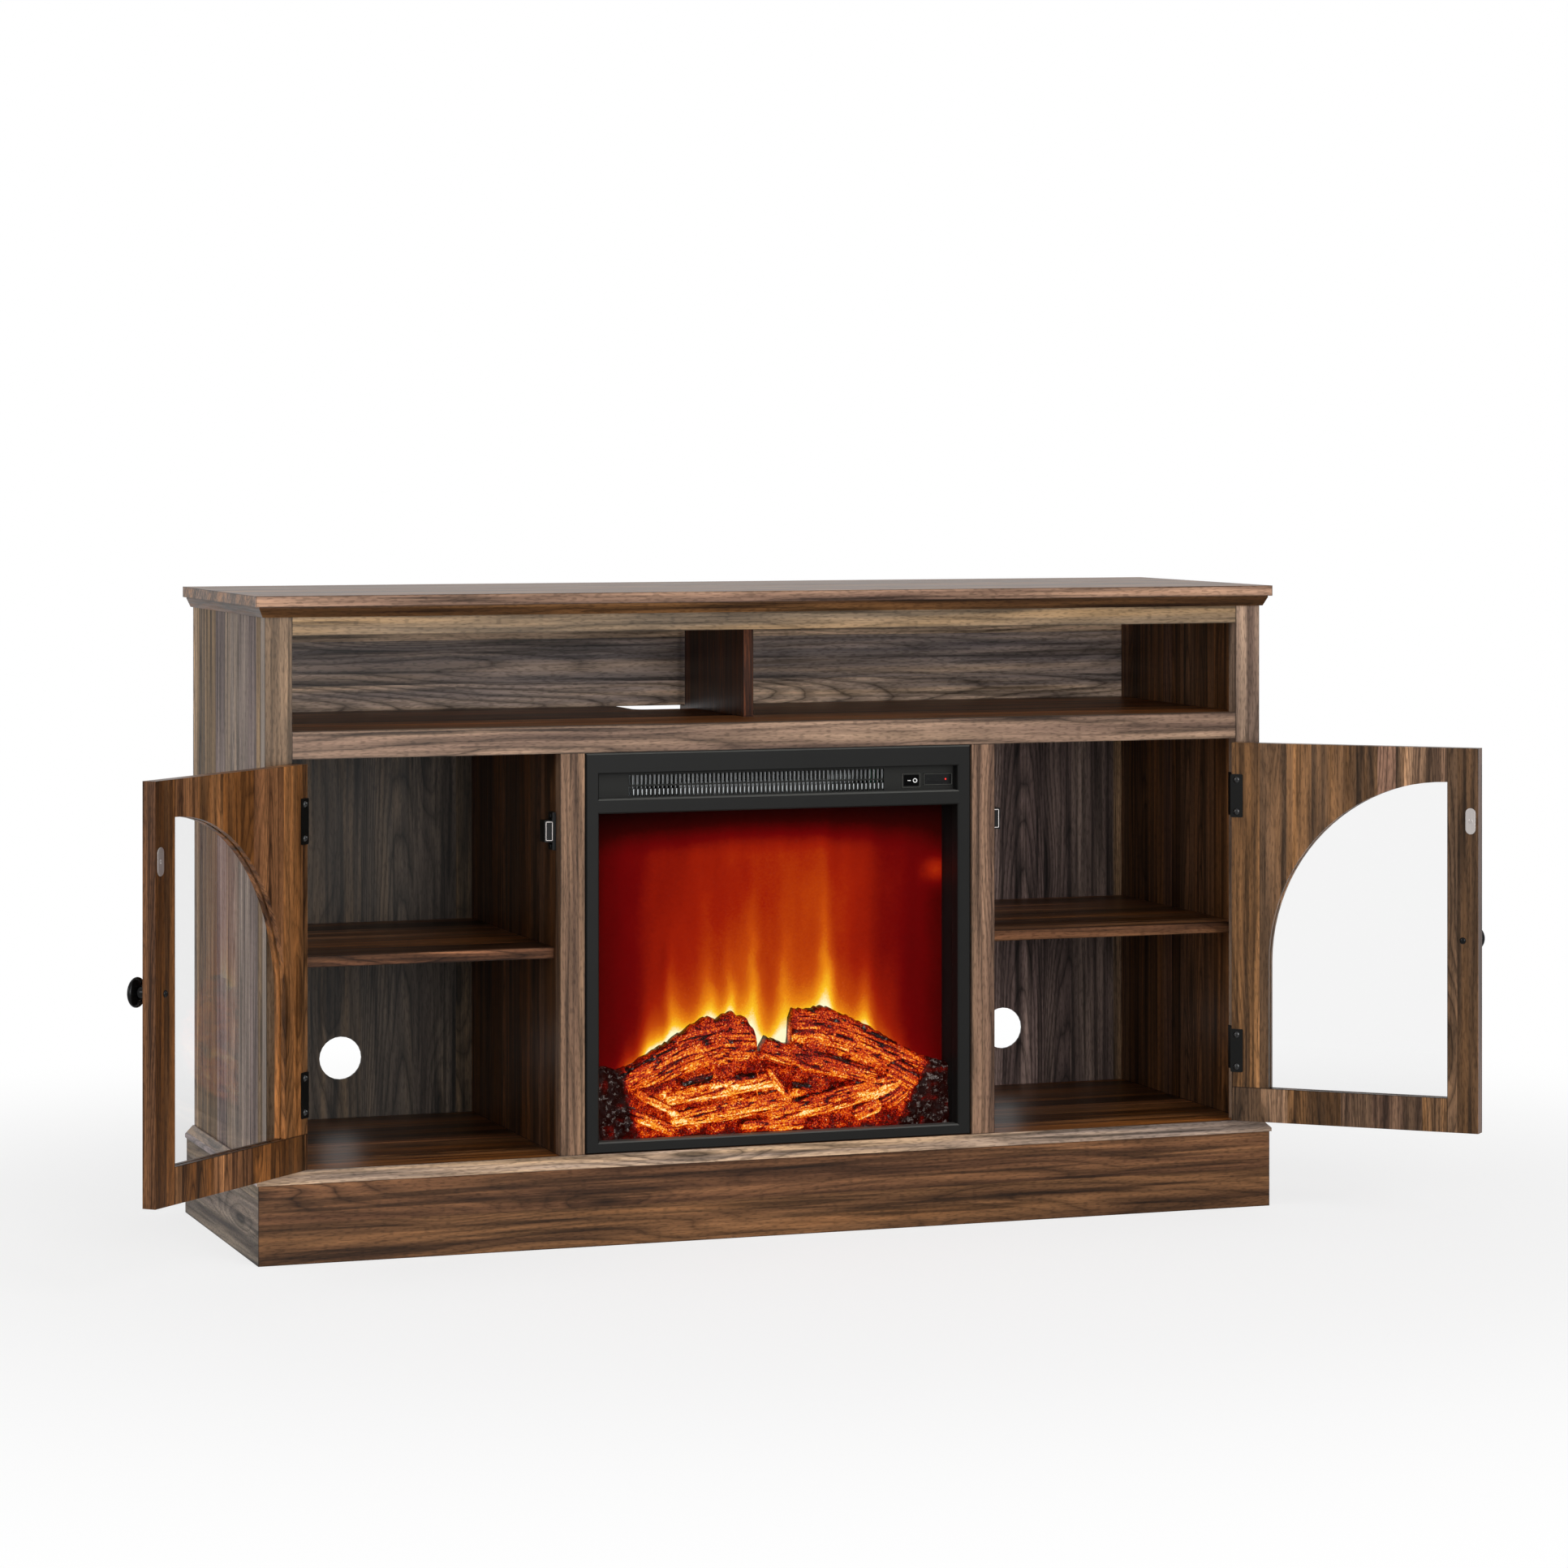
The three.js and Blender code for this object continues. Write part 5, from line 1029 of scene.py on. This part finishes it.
def log_set():
    """One cast shell: a relief over a grid that runs from the firebox floor to the top outline, a
    flat back, and strips that close the rim."""
    columns, rows = 420, 140
    across = np.linspace(-LOG_HALF_MM, LOG_HALF_MM, columns)
    top = np.interp(across, *LOG_OUTLINE.T) + 1.2 * noise(across / 3, 0 * across, 70)
    share = np.linspace(0, 1, rows)[:, None]
    x = np.repeat(across[None, :], rows, 0)
    rise = (top - LOG_FLOOR_MM)[None, :]
    z = LOG_FLOOR_MM + share * rise
    front, heat = log_fields(x, z)
    rim = np.clip((1 - share) * rise / RIM_MM, 0, 1)
    front = front + RIM_BACK_MM * (1 - np.sqrt(1 - (1 - rim) ** 2))
    front = np.clip(front, LOG_FRONT_MM, LOG_BACK_MM - 1)
    heat = np.clip(heat, 0.02, 1) * (0.75 + 0.25 * rim)
    relief = np.stack([x, front, z], -1).reshape(-1, 3)
    back = np.stack([x[[0, -1]], np.full((2, columns), LOG_BACK_MM), z[[0, -1]]], -1).reshape(-1, 3)
    grid = np.arange(rows * columns).reshape(rows, columns)
    behind = rows * columns + np.arange(2 * columns).reshape(2, columns)

    def quads(a, b):
        """Faces between two rows of points."""
        return np.stack([a[:-1], a[1:], b[1:], b[:-1]], -1).reshape(-1, 4).tolist()

    cells = [grid[:-1, :-1], grid[:-1, 1:], grid[1:, 1:], grid[1:, :-1]]
    faces = np.stack(cells, -1).reshape(-1, 4).tolist()
    faces += quads(behind[1], behind[0]) + quads(behind[0], grid[0]) + quads(grid[-1], behind[1])
    faces.append([*grid[:, 0][::-1].tolist(), int(behind[0, 0]), int(behind[1, 0])][::-1])
    faces.append([*grid[:, -1].tolist(), int(behind[1, -1]), int(behind[0, -1])][::-1])
    values = np.concatenate([heat.ravel(), np.full(2 * columns, 0.02)])
    piece("cast_log_relief", (np.vstack([relief, back]), faces), resin, "cabinet",
          ["log_set"], 60, values)


log_set()


# Stage and light

def soft_lamp(name, place, aim, size, watts):
    """A square area lamp that looks at a point. Rays through glass don't meet it, because its
    light already comes through the glass as shadow rays see it."""
    data = bpy.data.lights.new(name, "AREA")
    data.shape = "SQUARE"
    data.size = size
    data.energy = watts
    lamp = bpy.data.objects.new(name, data)
    lamp.visible_transmission = False
    lamp.location = place
    along = np.subtract(aim, place)
    flat = float(np.hypot(along[0], along[1]))
    lamp.rotation_euler = (
        float(np.arctan2(flat, -along[2])), 0, float(np.arctan2(-along[0], along[1]))
    )
    stage.collection.objects.link(lamp)


soft_lamp("front_lamp", (-0.2, -5.0, 0.85), (0, 0, 0.4), 2.2, 135)
soft_lamp("high_lamp", (1.3, -4.0, 2.6), (0, 0, 0.4), 2.0, 52)
soft_lamp("side_lamp", (-4.0, -1.0, 1.4), (-0.55, 0.2, 0.5), 1.6, 42)

# The room's light, half the floor, and the floor's own light from near to far
WORLD_LIGHT = 0.38
FLOOR_HALF = 8.0
NEAR, FAR, NEAR_GLOW = 0.7, 1.9, 0.72


def seen_white(net):
    """1 on rays that show the background: the camera's, mirrored ones and those through glass."""
    rays = add_node(net, "LightPath").outputs
    seen = calc(net, "MAXIMUM", rays["Is Camera Ray"], rays["Is Glossy Ray"])
    return calc(net, "MAXIMUM", seen, rays["Is Transmission Ray"])


world = bpy.data.worlds.new("studio")
stage.world = world
world.use_nodes = True
sky = world.node_tree
sky.nodes.clear()
level = remap(sky, seen_white(sky), 0, 1, WORLD_LIGHT, 1)
light = add_node(sky, "Background", {"Color": (1, 1, 1, 1), "Strength": level})
add_node(sky, "OutputWorld", {"Surface": light})

floor_mesh = bpy.data.meshes.new("floor")
corners = [(-1, -1, 0), (1, -1, 0), (1, 1, 0), (-1, 1, 0)]
floor_mesh.from_pydata((np.array(corners) * FLOOR_HALF).tolist(), [], [(0, 1, 2, 3)])
floor = bpy.data.objects.new("floor", floor_mesh)
floor.location.z = -0.05 * MM
stage.collection.objects.link(floor)

# The floor is matt paper, which takes the shadow. Its own light, seen only by rays that show the
# background, brings it near white round the object and to white farther off.
paper, net, shader = new_material("white_studio_paper")
floor_mesh.materials.append(paper)
set_sockets(net, shader, {"Base Color": linear("#f6f6f6"), "Roughness": 0.9})
span = add_node(net, "VectorMath", {0: object_place(net)}, operation="LENGTH").outputs["Value"]
far = remap(net, span, NEAR, FAR, NEAR_GLOW, 1, interpolation_type="SMOOTHSTEP")
far = calc(net, "*", far, seen_white(net))
white = add_node(net, "Emission", {"Color": (1, 1, 1, 1), "Strength": 1.0})
mixed = add_node(net, "MixShader", {0: far, 1: shader, 2: white})
net.links.new(mixed.outputs[0], net.nodes["Material Output"].inputs["Surface"])
